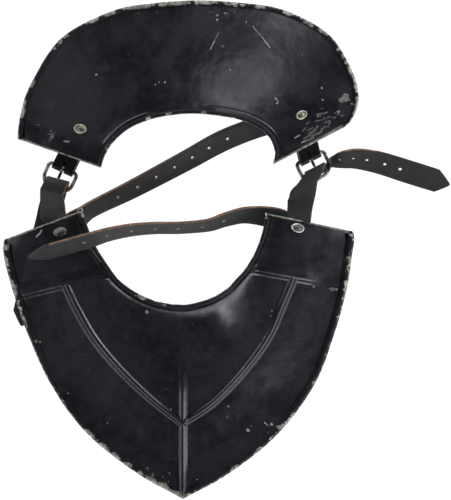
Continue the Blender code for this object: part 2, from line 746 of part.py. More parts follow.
def strap(name, rows, shares, seat, axes=None):
    """A strap through its rows, with an arrow end, punched holes, its rivet's hole and a buckle prong's hole."""
    smooth = smooth_rows(rows, 2)
    smooth += tip_rows(smooth, ARROW)
    made = ribbon(name, smooth, STRAP, (0.03, 0.028, 0.027), 0.5)
    holes = bmesh.new()
    for share in shares:
        spot, outward = before_tip(smooth, share)
        add_pin(holes, spot, outward, HOLE, 3 * STRAP, 8)
    centre, normal = seat
    add_pin(holes, centre - normal * (SHEET + STRAP), normal, RIVET_SHANK + PIN_ROOM, 6 * STRAP, 12)
    if axes:
        bow = BUCKLE_LENGTH - 2 * WIRE
        height = WIRE + GAP + PRONG / 2
        size = Matrix.Diagonal((PRONG_WIDTH + 2 * PIN_ROOM, bow * 0.7, PRONG + 2 * PIN_ROOM, 1.0))
        place = axes @ Matrix.Translation((0, -bow * 0.65, height)) @ size
        bmesh.ops.create_cube(holes, size=1.0, matrix=place)
    cut(made, holes)
    return made


def drill(plate, seats):
    """Rivet holes through a plate."""
    holes = bmesh.new()
    for centre, normal in seats:
        add_pin(holes, centre, normal, RIVET_SHANK + PIN_ROOM, 6 * SHEET, 12)
    cut(plate, holes)


def settle():
    """Moves everything so that the middle of the footprint is the origin and the lowest point is at zero."""
    meshes = [item for item in bpy.data.objects if item.display_type != "WIRE"]
    spots = [vertex.co for item in meshes for vertex in item.data.vertices]
    low = Vector([min(spot[i] for spot in spots) for i in range(3)])
    high = Vector([max(spot[i] for spot in spots) for i in range(3)])
    shift = Vector((-(low.x + high.x) / 2, -(low.y + high.y) / 2, -low.z))
    for item in bpy.data.objects:
        item.location = shift


def build():
    clear_scene()
    front_left = plate_seat(FRONT_LEFT, FRONT_LEFT_RIVET, *FRONT_SHAPE)
    front_right = plate_seat(FRONT_RIGHT, FRONT_RIGHT_RIVET, *FRONT_SHAPE)
    back_left = plate_seat(BACK, BACK_LEFT_RIVET, *BACK_SHAPE)
    back_right = plate_seat(BACK, BACK_RIGHT_RIVET, *BACK_SHAPE)
    drill(front_plate(), (front_left, front_right))
    drill(back_plate(), (back_left, back_right))
    strap_stack = SHEET / 2 + ROOT_GAP + 2 * STRAP + LAYER_GAP
    tab_stack = tab_depth(1) + TAB / 2
    rivet("front_left_rivet", front_left, strap_stack)
    rivet("front_right_rivet", front_right, strap_stack)
    rivet("back_left_rivet", back_left, tab_stack)
    rivet("back_right_rivet", back_right, tab_stack)

    left_axes = buckle_axes(back_left, LEFT_TAB_HEADING, LEFT_BAR_HEADING, LEFT_BUCKLE_ROLL)
    right_axes = buckle_axes(back_right, RIGHT_TAB_HEADING, RIGHT_BAR_HEADING, RIGHT_BUCKLE_ROLL)
    for side, axes, seat, heading in (
        ("left", left_axes, back_left, LEFT_TAB_HEADING),
        ("right", right_axes, back_right, RIGHT_TAB_HEADING),
    ):
        buckle_frame(side + "_buckle_frame", axes)
        buckle_prong(side + "_buckle_prong", axes)
        buckle_tab(side + "_buckle_tab", seat, axes, heading)

    left_fold = loop_rows(left_axes, LEFT_FOLD, 0.0, LEFT_SLANT, -90)
    left_closing = root_rows(front_left, LEFT_CLOSING_HEADING, 0, 1)
    left_closing += rise_rows(LEFT_CLOSING_RISE, front_left[0], left_fold[0][0]) + left_fold
    left_closing += tail_rows(LEFT_CLOSING_TAIL, left_axes.translation, LEFT_TAIL)
    strap("left_closing_strap", left_closing, (), front_left, left_axes)
    right_fold = loop_rows(right_axes, RIGHT_FOLD, RIGHT_SLIDE, 0, -60)
    right_closing = root_rows(front_right, RIGHT_CLOSING_HEADING, 0, 1)
    right_closing += rise_rows(RIGHT_CLOSING_RISE, front_right[0], right_fold[0][0]) + right_fold
    right_closing += tail_rows(RIGHT_CLOSING_TAIL, right_axes.translation, RIGHT_TAIL)
    strap("right_closing_strap", right_closing, RIGHT_CLOSING_HOLES, front_right, right_axes)
    left_long = root_rows(front_left, LEFT_LONG_HEADING, 1, -1) + long_rows(LEFT_LONG)
    strap("left_long_strap", left_long, LEFT_LONG_HOLES, front_left)
    right_long = root_rows(front_right, RIGHT_LONG_HEADING, 1, 1) + long_rows(RIGHT_LONG)
    strap("right_long_strap", right_long, RIGHT_LONG_HOLES, front_right)
    settle()


build()
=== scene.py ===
"""Looks of the gorget: two black enamelled steel plates and their buckled leather straps, lying outside up.

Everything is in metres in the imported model's frame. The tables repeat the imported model's own forms.
"""
import math

import bmesh
import bpy
import numpy as np
from mathutils import Matrix, Vector, noise


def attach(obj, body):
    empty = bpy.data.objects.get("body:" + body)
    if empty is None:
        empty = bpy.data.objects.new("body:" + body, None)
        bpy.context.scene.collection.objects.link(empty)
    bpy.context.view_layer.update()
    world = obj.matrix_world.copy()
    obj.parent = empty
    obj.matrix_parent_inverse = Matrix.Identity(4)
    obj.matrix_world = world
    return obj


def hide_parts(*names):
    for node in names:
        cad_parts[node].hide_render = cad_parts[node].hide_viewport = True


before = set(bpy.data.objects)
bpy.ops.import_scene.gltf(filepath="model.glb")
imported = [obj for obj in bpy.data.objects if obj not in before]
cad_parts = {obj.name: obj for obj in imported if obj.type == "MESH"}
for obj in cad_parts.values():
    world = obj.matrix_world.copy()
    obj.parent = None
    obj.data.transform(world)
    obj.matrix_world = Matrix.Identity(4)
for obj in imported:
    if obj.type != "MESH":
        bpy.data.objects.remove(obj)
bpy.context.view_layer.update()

# Where the front plate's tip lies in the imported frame
ORIGIN = Vector((-0.03868876, -0.21627396, 0.00011676))
# One pixel of the photograph in metres, its middle in pixels, and where that lies in the frame
PIXEL = 0.00087
PHOTO_MIDDLE = (226.2, 250)
PHOTO_PLACE = (-0.0008, 0.0001)

# Clearances
GAP = 0.0003
ROOT_GAP = 0.0015
PIN_ROOM = 0.0005
LAYER_GAP = 0.0010
SLOT_ROOM = 0.0005
COVER_GAP = 0.00015

# Plates
PLATE_SPACE = 0.0375
BACK_SHIFT = 0.0048
SHEET = 0.0012
ROLL_TURN = math.radians(280)
FLUSH_REACH = 0.030
EDGE_REACH = 0.0008
COLLAR_DEPTH = 0.009
COLLAR_BROW = 0.0003
MOUTH_DEPTH = 0.0016
MOUTH_LIP = 0.0005
NECK_MOUTH = 0.0027
OUTER_MOUTH = 0.0030
FRONT_WIDTH = 0.305
FRONT_LENGTH = 0.251
FRONT_RISE = 0.039
FRONT_BULGE = 0.005
FRONT_NECK_ROLL = 0.0018
FRONT_OUTER_ROLL = 0.0030
COLLAR_CREASE = 0.0051
NECK_REACH = 0.0008
BACK_WIDTH = 0.296
BACK_LENGTH = 0.144
BACK_RISE = 0.034
BACK_BULGE = 0.003
BACK_NECK_ROLL = 0.0024
BACK_OUTER_ROLL = 0.0020

# Leather, buckles and rivets
STRAP_WIDTH = 0.0205
STRAP = 0.0025
TAB_WIDTH = 0.0197
TAB = 0.0020
TAB_LENGTH = 0.037
TAB_LAP = 0.008
STRAP_LAP = 0.0065
ARROW = 0.0118
LONG_ARROW = 0.0185
HOLE = 0.0014
ARRIS = 0.00045
LEFT_TAIL = 0.138
RIGHT_TAIL = 0.122
BUCKLE_WIDTH = 0.0300
BUCKLE_LENGTH = 0.0234
WIRE = 0.00165
BUCKLE_CORNER = 0.003
BUCKLE_BOW = 0.0105
PRONG_WIDTH = 0.0026
PRONG = 0.0014
LOOP = WIRE + STRAP / 2 + 0.0023
RIVET_SHANK = 0.0021
RIVET_TAIL = 0.0040
RIVET_TAIL_THICK = 0.0012
# Breadth and height of the tail's bevelled edge
TAIL_ROUND = (0.0006, 0.0004)

# Sections of the plates: neck across, neck along, neck height, outer across, outer along, outer height, ridge
FRONT_LEFT = (
    (-0.287, 1.000, 0.77, -0.511, 0.898, 0.087, 0.48),
    (-0.272, 0.941, 0.82, -0.509, 0.837, 0.087, 0.48),
    (-0.248, 0.872, 0.86, -0.495, 0.768, 0.087, 0.48),
    (-0.198, 0.780, 0.90, -0.478, 0.699, 0.092, 0.48),
    (-0.170, 0.744, 0.92, -0.444, 0.581, 0.092, 0.485),
    (-0.130, 0.711, 0.95, -0.375, 0.397, 0.062, 0.493),
    (-0.084, 0.686, 0.97, -0.275, 0.231, 0.023, 0.51),
    (-0.041, 0.674, 0.99, -0.138, 0.096, 0.005, 0.556),
    (-0.014, 0.671, 1.00, -0.019, 0.013, 0.000, 0.60),
    (0.000, 0.670, 1.00, 0.000, 0.000, 0.000, 0.62),
)
FRONT_RIGHT = (
    (0.000, 0.670, 1.00, 0.000, 0.000, 0.000, 0.62),
    (0.014, 0.671, 1.00, 0.020, 0.013, 0.000, 0.60),
    (0.041, 0.678, 0.99, 0.133, 0.090, 0.005, 0.572),
    (0.084, 0.695, 0.97, 0.272, 0.227, 0.005, 0.514),
    (0.126, 0.725, 0.95, 0.375, 0.397, 0.005, 0.481),
    (0.155, 0.761, 0.92, 0.432, 0.574, 0.005, 0.464),
    (0.181, 0.797, 0.90, 0.468, 0.733, 0.010, 0.468),
    (0.210, 0.858, 0.86, 0.481, 0.837, 0.010, 0.468),
    (0.231, 0.931, 0.82, 0.488, 0.893, 0.005, 0.468),
    (0.238, 0.990, 0.77, 0.486, 0.927, 0.005, 0.468),
)
BACK = (
    (-0.258, -0.004, 0.88, -0.502, 0.171, 0.03, 0.5),
    (-0.247, 0.066, 0.90, -0.491, 0.332, 0.01, 0.5),
    (-0.224, 0.145, 0.91, -0.460, 0.511, 0.00, 0.5),
    (-0.176, 0.233, 0.94, -0.371, 0.782, 0.00, 0.5),
    (-0.112, 0.290, 0.97, -0.218, 0.946, 0.00, 0.5),
    (-0.047, 0.317, 0.99, -0.097, 0.990, 0.00, 0.5),
    (0.018, 0.326, 1.00, 0.021, 1.006, 0.00, 0.5),
    (0.085, 0.314, 0.99, 0.147, 0.993, 0.00, 0.5),
    (0.153, 0.288, 0.97, 0.279, 0.949, 0.00, 0.5),
    (0.209, 0.236, 0.94, 0.409, 0.807, 0.00, 0.5),
    (0.241, 0.178, 0.91, 0.478, 0.595, 0.00, 0.5),
    (0.256, 0.103, 0.90, 0.500, 0.423, 0.03, 0.5),
    (0.256, 0.060, 0.90, 0.485, 0.305, 0.11, 0.5),
    (0.250, 0.016, 0.90, 0.462, 0.245, 0.17, 0.5),
)
# Rows of the shoulder beads in the tables, and a number past the end of any table
LEFT_SHOULDER = 3
RIGHT_SHOULDER = 6
BEYOND = 20
# Where the rivets are: row of the table, and share of the way from the neck to the outer edge
FRONT_LEFT_RIVET = (0.78, 0.305)
FRONT_RIGHT_RIVET = (8.35, 0.362)
BACK_LEFT_RIVET = (1.67, 0.34)
BACK_RIGHT_RIVET = (10.15, 0.365)

# Headings and angles of the leather and the buckles, degrees
LEFT_CLOSING_HEADING = 15
RIGHT_CLOSING_HEADING = -10
LEFT_LONG_HEADING = 127
RIGHT_LONG_HEADING = 65
LEFT_BAR_HEADING = -24.9
RIGHT_BAR_HEADING = 26.6
LEFT_TAB_HEADING = -116.0
RIGHT_TAB_HEADING = -76.5
LEFT_BUCKLE_ROLL = -9
RIGHT_BUCKLE_ROLL = 10
TAB_DROP = 0.0075
BUCKLE_PITCH = 4
LEFT_FOLD = 0.560
RIGHT_FOLD = 0.530
RIGHT_SLIDE = 1.2
LEFT_SLANT = 10
FOLD_BREADTH = 0.98
# How far the right closing strap lies to one side as it comes to the bow, and its breadth there
RIGHT_LEAD = (-0.0041, 1.37)
# Share of the way over the bow, and how much of that lead the strap has there
BOW_BULGE = ((0.45, 1.15), (0.75, 1.08))
# A strap's arrow end: share of the arrow's length, and share of the breadth
ARROW_SHAPE = ((0.35, 0.70), (0.7, 0.38), (0.92, 0.16), (1.0, 0.04))
# The prong past the bar: share of the way to the bow, and share of its breadth
PRONG_SHAPE = ((0.35, 1.0), (0.75, 0.85), (1.04, 0.6))

# Straps: way or across, side or along, height, heading, lean, breadth
LEFT_CLOSING_RISE = (
    (0.4224, -0.1264, 0.3938, 10, -6, 1.08),
    (0.7222, -0.0585, 0.6538, 2, -2, 1.04),
)
RIGHT_CLOSING_RISE = (
    (0.2200, 0.0000, 0.4500, -10, 2, 1.06),
    (0.6200, -0.0150, 0.8500, -2, 2, 1.09),
)
LEFT_CLOSING_TAIL = (
    (-0.0810, -0.2345, 0.306, -14, 0, 1.0),
    (-0.1031, -0.3291, 0.048, -14, 0, 1.0),
    (-0.1186, -0.3909, 0.000, -14, 0, 1.0),
    (-0.1893, -0.6692, 0.000, -14, 0, 1.0),
    (-0.2480, -0.9150, 0.000, -14, 0, 1.0),
)
RIGHT_CLOSING_TAIL = (
    (0.0915, -0.0815, 0.385, 45, 0, 0.85),
    (0.1290, -0.0527, 0.267, 68, 4, 0.65),
    (0.1615, -0.0301, 0.169, 84, 10, 0.50),
    (0.1965, -0.0198, 0.306, 88, 28, 0.70),
    (0.2465, -0.0136, 0.621, 90, 38, 0.90),
    (0.3440, -0.0095, 0.601, 84, 34, 1.0),
    (0.5015, -0.0383, 0.424, 76, 22, 1.0),
    (0.7065, -0.1021, 0.228, 73.5, 12, 1.0),
    (0.9115, -0.1659, 0.118, 76, 3, 0.98),
)
LEFT_LONG = (
    (-0.305, 0.962, 0.555, 128, 20, 1.0),
    (-0.283, 0.984, 0.53, 126, 46, 1.0),
    (-0.249, 1.010, 0.47, 125, 50, 1.0),
    (-0.139, 1.076, 0.38, 118, 43, 1.0),
    (0.008, 1.171, 0.33, 118, 35, 1.0),
    (0.107, 1.237, 0.28, 118, 29, 1.0),
    (0.195, 1.281, 0.22, 115, 30, 1.0),
    (0.292, 1.321, 0.17, 108, 14, 1.0),
    (0.345, 1.333, 0.12, 104, 5, 1.0),
)
RIGHT_LONG = (
    (0.257, 0.974, 0.51, 72, 26, 1.0),
    (0.181, 0.983, 0.55, 92, 50, 1.0),
    (0.121, 0.967, 0.62, 104, 58, 1.0),
    (0.073, 0.948, 0.68, 104, 62, 1.0),
    (-0.006, 0.939, 0.79, 93, 64, 1.0),
    (-0.079, 0.938, 0.92, 91, 64, 1.0),
    (-0.147, 0.931, 1.06, 97, 62, 1.0),
    (-0.213, 0.915, 1.24, 104, 59, 1.0),
    (-0.258, 0.898, 1.31, 106, 55, 1.0),
    (-0.332, 0.873, 1.02, 105, 54, 1.0),
    (-0.390, 0.8535, 0.78, 106, 54, 1.0),
)
RIGHT_CLOSING_HOLES = (0.233, 0.305, 0.387, 0.448, 0.511)
LEFT_LONG_HOLES = (0.322, 0.393, 0.459, 0.528, 0.599, 0.672, 0.748)
RIGHT_LONG_HOLES = (0.226, 0.309, 0.398, 0.482, 0.561, 0.645, 0.720)

# Fineness of the shown model, and the angles in degrees from which edges look sharp
ROLL_STEPS = 14
STRAP_STEPS = 8
LEATHER_STEPS = 6
MOUTH_SIDES = 18
HOLE_SIDES = 20
WIRE_SIDES = 16
PRONG_SIDES = 12
RIVET_SIDES = 28
STEEL_SHARP = 38
LEATHER_SHARP = 50
RIVET_SHARP = 30
# Sections at each end that belong to the cut edge, and how flat an outer roll has to be to count as skin
CUT_SECTIONS = 5
COVERED = 0.75
# The points of each section that belong to its rolls
NECK_PART = slice(0, ROLL_STEPS)
OUTER_PART = slice(-ROLL_STEPS, None)

# Unevenness of the hand-worked sheet: depth, width of the wide hollows and width of the small ones
DENT = 0.00022
WIDE_DENT = 0.045
SMALL_DENT = 0.018

# Worn stretches of the plates' edges, and bare patches of their skin: x and y in pixels from the photograph's
# upper left corner, reach in pixels, and how bare the steel is there, 1 being wholly bare
BACK_WORN = (
    (22, 110, 18, 0.60), (30, 84, 16, 0.50), (60, 42, 20, 0.45), (92, 21, 14, 0.62), (112, 15, 14, 0.70),
    (140, 7, 22, 0.80), (175, 2, 22, 0.85), (205, 2, 20, 0.80), (235, 4, 16, 0.62), (260, 8, 9, 0.80),
    (286, 15, 9, 0.74), (306, 24, 12, 0.72), (323, 33, 10, 0.78), (338, 48, 9, 0.60), (345, 59, 9, 0.72),
    (350, 71, 10, 0.72), (356, 88, 12, 0.62), (357, 104, 14, 0.72), (349, 120, 12, 0.66),
    (150, 119, 6, 0.62), (168, 114, 6, 0.62), (109, 143, 6, 0.62), (106, 149, 5, 0.60), (205, 113, 5, 0.55),
)
BACK_BARE = (
    (346.5, 97.6, 6.5, 0.92), (341.5, 100, 4.5, 0.8), (322, 118, 17, 0.26), (309, 132, 12, 0.22),
    (50, 136, 10, 0.26), (353, 104, 4, 0.6), (350, 110, 4, 0.58),
)
FRONT_WORN = (
    (5, 244, 12, 0.72), (7, 262, 14, 0.60), (13, 284, 10, 0.74), (15, 292, 8, 0.82), (20, 306, 12, 0.55),
    (22, 325, 14, 0.42), (60, 398, 16, 0.42), (92, 436, 10, 0.74), (104, 445, 9, 0.80), (118, 455, 8, 0.90),
    (130, 464, 8, 0.86), (142, 471, 9, 0.95), (154, 479, 10, 1.15), (4, 240, 5, 1.0), (166, 487, 11, 1.20),
    (178, 495, 10, 1.20), (190, 492, 8, 0.50), (353, 236, 10, 0.55), (352, 262, 16, 0.62),
    (349, 287, 9, 0.86), (348, 300, 8, 0.72), (343, 322, 16, 0.45), (330, 352, 14, 0.45),
    (312, 388, 10, 0.45), (290, 417, 9, 0.84), (281, 427, 7, 0.84), (270, 437, 7, 0.80),
    (258, 448, 7, 0.66), (234, 468, 6, 0.62), (142, 298, 8, 0.84), (163, 304, 6, 0.60), (200, 311, 3, 0.60),
    (82, 212, 8, 0.62), (270, 214, 8, 0.62), (225, 298, 8, 0.46),
)
FRONT_BARE = ((332.5, 289.5, 3.6, 1.0), (346, 288, 4, 0.66), (280, 428, 5, 0.6), (291, 416, 4, 0.62))
# Single nicks through the enamel: x, y and reach, all in pixels
BACK_NICKS = (
    (222.8, 46, 0.9), (230, 69.6, 1.1), (275.6, 98.6, 1.2), (277.2, 103, 1.4), (272, 104, 0.7),
    (322, 87.6, 1.3), (323, 99.5, 0.9), (96.4, 74.6, 1.4), (155.3, 84.7, 0.9), (159.3, 82.2, 0.7),
    (165, 82.5, 1.2), (38, 124.8, 0.8), (43.8, 142, 0.9), (217.5, 14.5, 1.5), (217, 19, 1.2),
    (224.9, 12.5, 1.1), (227, 13, 0.8), (234.5, 11.9, 1.0), (246.6, 21.7, 0.9), (268, 110, 0.6),
    (67.4, 141.6, 1.3), (53, 135.5, 1.2),
)
FRONT_NICKS = (
    (228.2, 406.5, 0.8), (227.6, 416.4, 0.7), (248.2, 430.6, 2.3), (251.5, 426.6, 0.8), (170.8, 409.3, 1.0),
    (169.5, 473.8, 1.0), (162.5, 477.2, 1.0), (168.9, 482, 0.9), (35.7, 341.2, 1.6), (39.7, 342, 1.3),
    (67.4, 393.4, 1.3), (107.1, 423.8, 0.9), (314.1, 286.7, 0.9), (298, 338.5, 0.5), (271.8, 311, 0.6),
    (271, 316, 0.5), (147, 311.7, 2.2), (201.8, 311.4, 1.5), (234, 468, 1.6), (271.6, 424.6, 1.8),
    (197, 480, 0.9),
)
# Scratches: start x, start y, end x, end y and half width, all in pixels
BACK_SCRATCHES = (
    (253, 26, 256.4, 30.4, 0.6), (256.4, 30.4, 262.3, 36.9, 0.35), (262.3, 36.9, 269.9, 46.8, 0.8),
    (218.4, 32.5, 214.5, 41, 0.3), (214.5, 41, 210.3, 49, 0.7), (275, 98, 278.5, 101, 0.6),
    (302, 142.5, 307.5, 140, 0.8), (306, 141, 314, 137.5, 0.7), (312.5, 136, 320, 132.5, 0.8),
    (308.8, 135, 316, 130, 0.7), (303, 131, 306, 128, 0.6), (308, 130, 313, 127.5, 0.5),
    (313.8, 130, 318, 126, 0.7), (295, 138, 300, 135, 0.7), (306, 124, 309, 122, 0.6),
    (317, 114.5, 322.5, 113, 0.8), (317.5, 116, 321, 115.6, 0.7), (323, 120, 325, 117.5, 0.5),
    (315.6, 121, 321, 120, 0.6), (323.8, 113.8, 327.5, 112, 0.6), (328, 117.5, 330, 116, 0.5),
    (332.5, 117.5, 336, 117, 0.6), (338, 113.8, 340, 111, 0.6), (328.8, 125, 330.6, 122, 0.5),
    (325, 122.5, 330, 120.6, 0.6), (321, 130, 323.8, 128, 0.6), (311, 132.5, 315, 131, 0.5),
    (303.8, 138.8, 311, 135, 0.6), (318.8, 133.8, 322.5, 131, 0.5), (335, 113, 338.8, 110.6, 0.5),
    (340.6, 115.6, 343.8, 115, 0.5), (310, 139, 316, 134, 0.5), (48, 134, 55, 133, 0.6),
    (64, 141, 69, 141.5, 0.6),
)
FRONT_SCRATCHES = (
    (36.5, 236.5, 40.5, 232.5, 1.1), (40.5, 232.5, 41.5, 229.8, 1.0), (265, 423, 268, 426, 0.8),
    (330, 288.5, 337, 289.5, 1.0), (101, 262, 90, 247, 0.4),
)
# Rubbed lines along the plates' edges: how bare, and how far from the edge they start and stop fading
OUTER_RUB = (0.53, 0.0006, 0.0018)
NECK_RUB = (0.44, 0.0004, 0.0014)
# The cut edges' line is partly rubbed bare steel and partly a painted highlight, widened where the sheared
# edge catches light
CUT_RUB_AND_HIGHLIGHT = (1.05, 0.0008, 0.0022)
# Worn stretches: how bare on the rim, how much of that fades inwards, and where the fading starts and stops
RIM_WEAR = 1.18
RIM_FADE = (0.80, 0.0020, 0.0048)
MOUTH_WEAR = 0.86
# Share of its given reach at which a spot ends
SPOT_REACH = 0.8


def linear(colour):
    """Linear RGBA of an sRGB hex colour."""
    parts = [int(colour[i:i + 2], 16) / 255 for i in (1, 3, 5)]
    return (*[c / 12.92 if c <= 0.04045 else ((c + 0.055) / 1.055) ** 2.4 for c in parts], 1.0)


def add(tree, kind, inputs=(), **settings):
    """Adds a node. Inputs are values or other nodes' sockets, by the input's name or number."""
    made = tree.nodes.new(kind)
    for name, value in settings.items():
        setattr(made, name, value)
    for name, value in dict(inputs).items():
        if isinstance(value, bpy.types.NodeSocket):
            tree.links.new(value, made.inputs[name])
        else:
            made.inputs[name].default_value = value
    return made


def blank(name, constants):
    """A new material with its Principled shader's constants set, its node tree and that shader."""
    made = bpy.data.materials.new(name)
    made.use_nodes = True
    shader = made.node_tree.nodes["Principled BSDF"]
    for key, value in constants.items():
        shader.inputs[key].default_value = value
    return made, made.node_tree, shader


def put(name, data):
    """A new object in the scene."""
    made = bpy.data.objects.new(name, data)
    bpy.context.scene.collection.objects.link(made)
    return made


def on_photo(x, y):
    """Place in the frame that lies under a pixel of the photograph."""
    return (x - PHOTO_MIDDLE[0]) * PIXEL + PHOTO_PLACE[0], (PHOTO_MIDDLE[1] - y) * PIXEL + PHOTO_PLACE[1]


# Plates


def between(table, places):
    """Rows of a table at places counted in rows, on smooth curves through its rows."""
    table = np.array(table)
    places = np.atleast_1d(places)
    last = len(table) - 1
    start = np.minimum(places.astype(int), last - 1)
    t = (places - start)[:, None]
    p, q, r, s = (table[np.clip(start + step, 0, last)] for step in (-1, 0, 1, 2))
    return 0.5 * (2 * q + (r - p) * t + (2 * p - 5 * q + 4 * r - s) * t**2 + (3 * q - p - 3 * r + s) * t**3)


def front_place(across, along):
    """Place in plan of shares of the front plate's width and length."""
    return np.stack([across * FRONT_WIDTH, along * FRONT_LENGTH], -1)


def back_place(across, along):
    """Place in plan of shares of the back plate's width and length."""
    return np.stack([BACK_SHIFT + across * BACK_WIDTH, FRONT_LENGTH + PLATE_SPACE + along * BACK_LENGTH], -1)


FRONT_SHAPE = (front_place, FRONT_RISE, FRONT_BULGE, FRONT_NECK_ROLL, FRONT_OUTER_ROLL)
BACK_SHAPE = (back_place, BACK_RISE, BACK_BULGE, BACK_NECK_ROLL, BACK_OUTER_ROLL)


def lay_out(rows, place, rise, bulge, neck_roll, outer_roll, narrow=1.0):
    """Planes and heights of the sections at some rows of a plate's table, one entry each.

    Narrow is the share of its full radius that the neck roll has at each.
    """
    neck_roll = neck_roll * narrow * np.ones(len(rows))
    neck = place(rows[:, 0], rows[:, 1])
    outer = place(rows[:, 3], rows[:, 4])
    reach = np.linalg.norm(outer - neck, axis=1)
    drop = (rows[:, 2] - rows[:, 5]) * rise
    run = reach - 2 * (neck_roll + outer_roll)
    neck_slope = np.arctan((drop - 4 * bulge) / run)
    outer_slope = np.arctan((drop + 4 * bulge) / run)
    return {
        "neck": neck,
        "way": (outer - neck) / reach[:, None],
        "reach": reach,
        "bulge": bulge,
        "neck_slope": neck_slope,
        "outer_slope": outer_slope,
        "start": SHEET / 2 + neck_roll * (1 - np.sin(neck_slope)) - NECK_REACH,
        "end": reach + EDGE_REACH - SHEET / 2 - outer_roll * (1 + np.sin(outer_slope)),
        "top": rows[:, 2] * rise,
        "foot": rows[:, 5] * rise + SHEET / 2 + outer_roll * (1 - np.cos(outer_slope)),
        "neck_roll": neck_roll,
        "outer_roll": outer_roll * np.ones(len(rows)),
        "ridge": rows[:, 6],
    }


def sheet_height(lay, s):
    """Heights of the middle of the sheet at distances s from the neck edge, one row of s a section."""
    start = lay["start"][:, None]
    w = (s - start) / (lay["end"][:, None] - start)
    fall = (lay["foot"] - lay["top"])[:, None] * w
    return lay["top"][:, None] + fall + lay["bulge"] * 4 * w * (1 - w)


def eased(value, low, high):
    """0 up to low, 1 from high on, and a soft step between them."""
    t = np.clip((value - low) / (high - low), 0, 1)
    return t * t * (3 - 2 * t)


def bead(across, runs):
    """Height of a swaged bead at distances across its line, from runs of start, finish and change of height.

    Short runs are straight flanks and long ones ease in and out.
    """
    height = 0.0
    for start, finish, change in runs:
        share = np.clip((across - start) / (finish - start), 0, 1)
        if finish - start > 0.004:
            share = share**2 * (3 - 2 * share)
        height = height + change * share
    return height


def dents(x, y, seed):
    """Slow unevenness of hand-worked sheet at points of the plan."""
    depths = []
    for a, b in zip(x.ravel(), y.ravel()):
        wide = noise.noise(Vector((a / WIDE_DENT, b / WIDE_DENT, seed)))
        small = noise.noise(Vector((a / SMALL_DENT, b / SMALL_DENT, seed + 7)))
        depths.append(wide + 0.4 * small)
    return np.array(depths).reshape(x.shape) * DENT


def section_stops(lay, runs):
    """Distances from the neck edge at which each section has its points, close where the form is fine.

    The runs give two marks and the number of steps between them.
    """
    start = lay["start"]
    end = lay["end"]
    crest = lay["ridge"] * lay["reach"]
    marks = {
        "start": start,
        "crease": start * 0 + COLLAR_CREASE,
        "brow": start * 0 + COLLAR_CREASE + COLLAR_BROW,
        "collar": start + COLLAR_DEPTH + 0.004,
        "foot": crest - 0.0048,
        "far": crest + 0.0050,
        "edge": end - 0.006,
        "end": end,
    }
    parts = []
    for first, second, steps in runs:
        share = np.arange(steps) / steps
        parts.append(marks[first][:, None] + (marks[second] - marks[first])[:, None] * share)
    parts.append(end[:, None])
    return np.hstack(parts)


def curl(centre, radius, up, away, turns):
    """Points round a rolled edge, one row a section. Turns are measured from under it outwards."""
    turns = turns[None, :, None]
    radius = radius[:, None, None]
    return centre[:, None] - up[:, None] * np.cos(turns) * radius + away[:, None] * np.sin(turns) * radius


def plate_points(table, shape, places, stops, relief, flush, narrow, set_back):
    """Points of a plate's outer and inner surface, one row a section, and the planes of its sections.

    Flush says where the outer roll is hammered flat into the skin, from 0 to 1 a section, and narrow how
    tight the neck roll is. Set back says how far the rolls' open ends are cut back at the top: neck and outer
    roll at the first section, then at the last.
    """
    lay = lay_out(between(table, places), *shape, narrow)
    s = section_stops(lay, stops)
    flat = lay["neck"][:, None, :] + lay["way"][:, None, :] * s[:, :, None]
    height = sheet_height(lay, s) + relief(places, lay, s, flat)
    run = np.stack([np.gradient(s, axis=1), np.gradient(height, axis=1)], -1)
    run /= np.linalg.norm(run, axis=2, keepdims=True)
    normal = np.stack([-run[:, :, 1], run[:, :, 0]], -1)
    a = lay["neck_slope"]
    b = lay["outer_slope"]
    normal[:, 0] = np.stack([np.sin(a), np.cos(a)], -1)
    normal[:, -1] = np.stack([np.sin(b), np.cos(b)], -1)
    middle = np.stack([s, height], -1)
    turns = ROLL_TURN * np.arange(1, ROLL_STEPS + 1) / ROLL_STEPS
    sides = []
    for side in (-1, 1):
        sheet = middle - normal * side * SHEET / 2
        curls = []
        for at, radius, away in (
            (0, lay["neck_roll"], np.stack([-np.cos(a), np.sin(a)], -1)),
            (-1, lay["outer_roll"], np.stack([np.cos(b), -np.sin(b)], -1)),
        ):
            up = normal[:, at]
            centre = middle[:, at] + up * radius[:, None]
            curls.append(curl(centre, radius + side * SHEET / 2, up, away, turns))
        if side == -1:
            over = np.linspace(math.pi, math.pi / 3, ROLL_STEPS)
            cover = curl(centre, radius + SHEET / 2 + COVER_GAP, up, away, over)
            share = flush[:, None, None]
            curls[1] = curls[1] * (1 - share) + cover * share
            near = np.clip((s - lay["end"][:, None]) / FLUSH_REACH + 1, 0, 1)[:, :, None] ** 2
            sheet = sheet + up[:, None] * (2 * radius[:, None, None] + COVER_GAP) * share * near
        line = np.concatenate([curls[0][:, ::-1], sheet, curls[1]], axis=1)
        plan = lay["neck"][:, None, :] + lay["way"][:, None, :] * line[:, :, :1]
        sides.append(np.concatenate([plan, line[:, :, 1:]], axis=2))
    cut_back(sides, turns, set_back)
    return sides, lay


def cut_back(sides, turns, set_back):
    """Moves the tops of the rolls' open ends back along the rolls."""
    high = eased(turns, math.radians(75), math.radians(170))
    for end, (neck, outer) in zip((1, -1), set_back):
        for part, depth, rise in ((NECK_PART, neck, high[::-1]), (OUTER_PART, outer, high)):
            if depth == 0:
                continue
            edge = sides[1][::end, part][:, ROLL_STEPS // 2, :2]
            steps = np.linalg.norm(np.diff(edge, axis=0), axis=1)
            along = np.concatenate([[0], np.cumsum(steps)])
            way = (edge[4] - edge[0]) / np.linalg.norm(edge[4] - edge[0])
            shift = depth * np.clip(1 - along / (3 * depth), 0, 1)[:, None] * rise
            for points in sides:
                points[::end, part, :2] += shift[:, :, None] * way


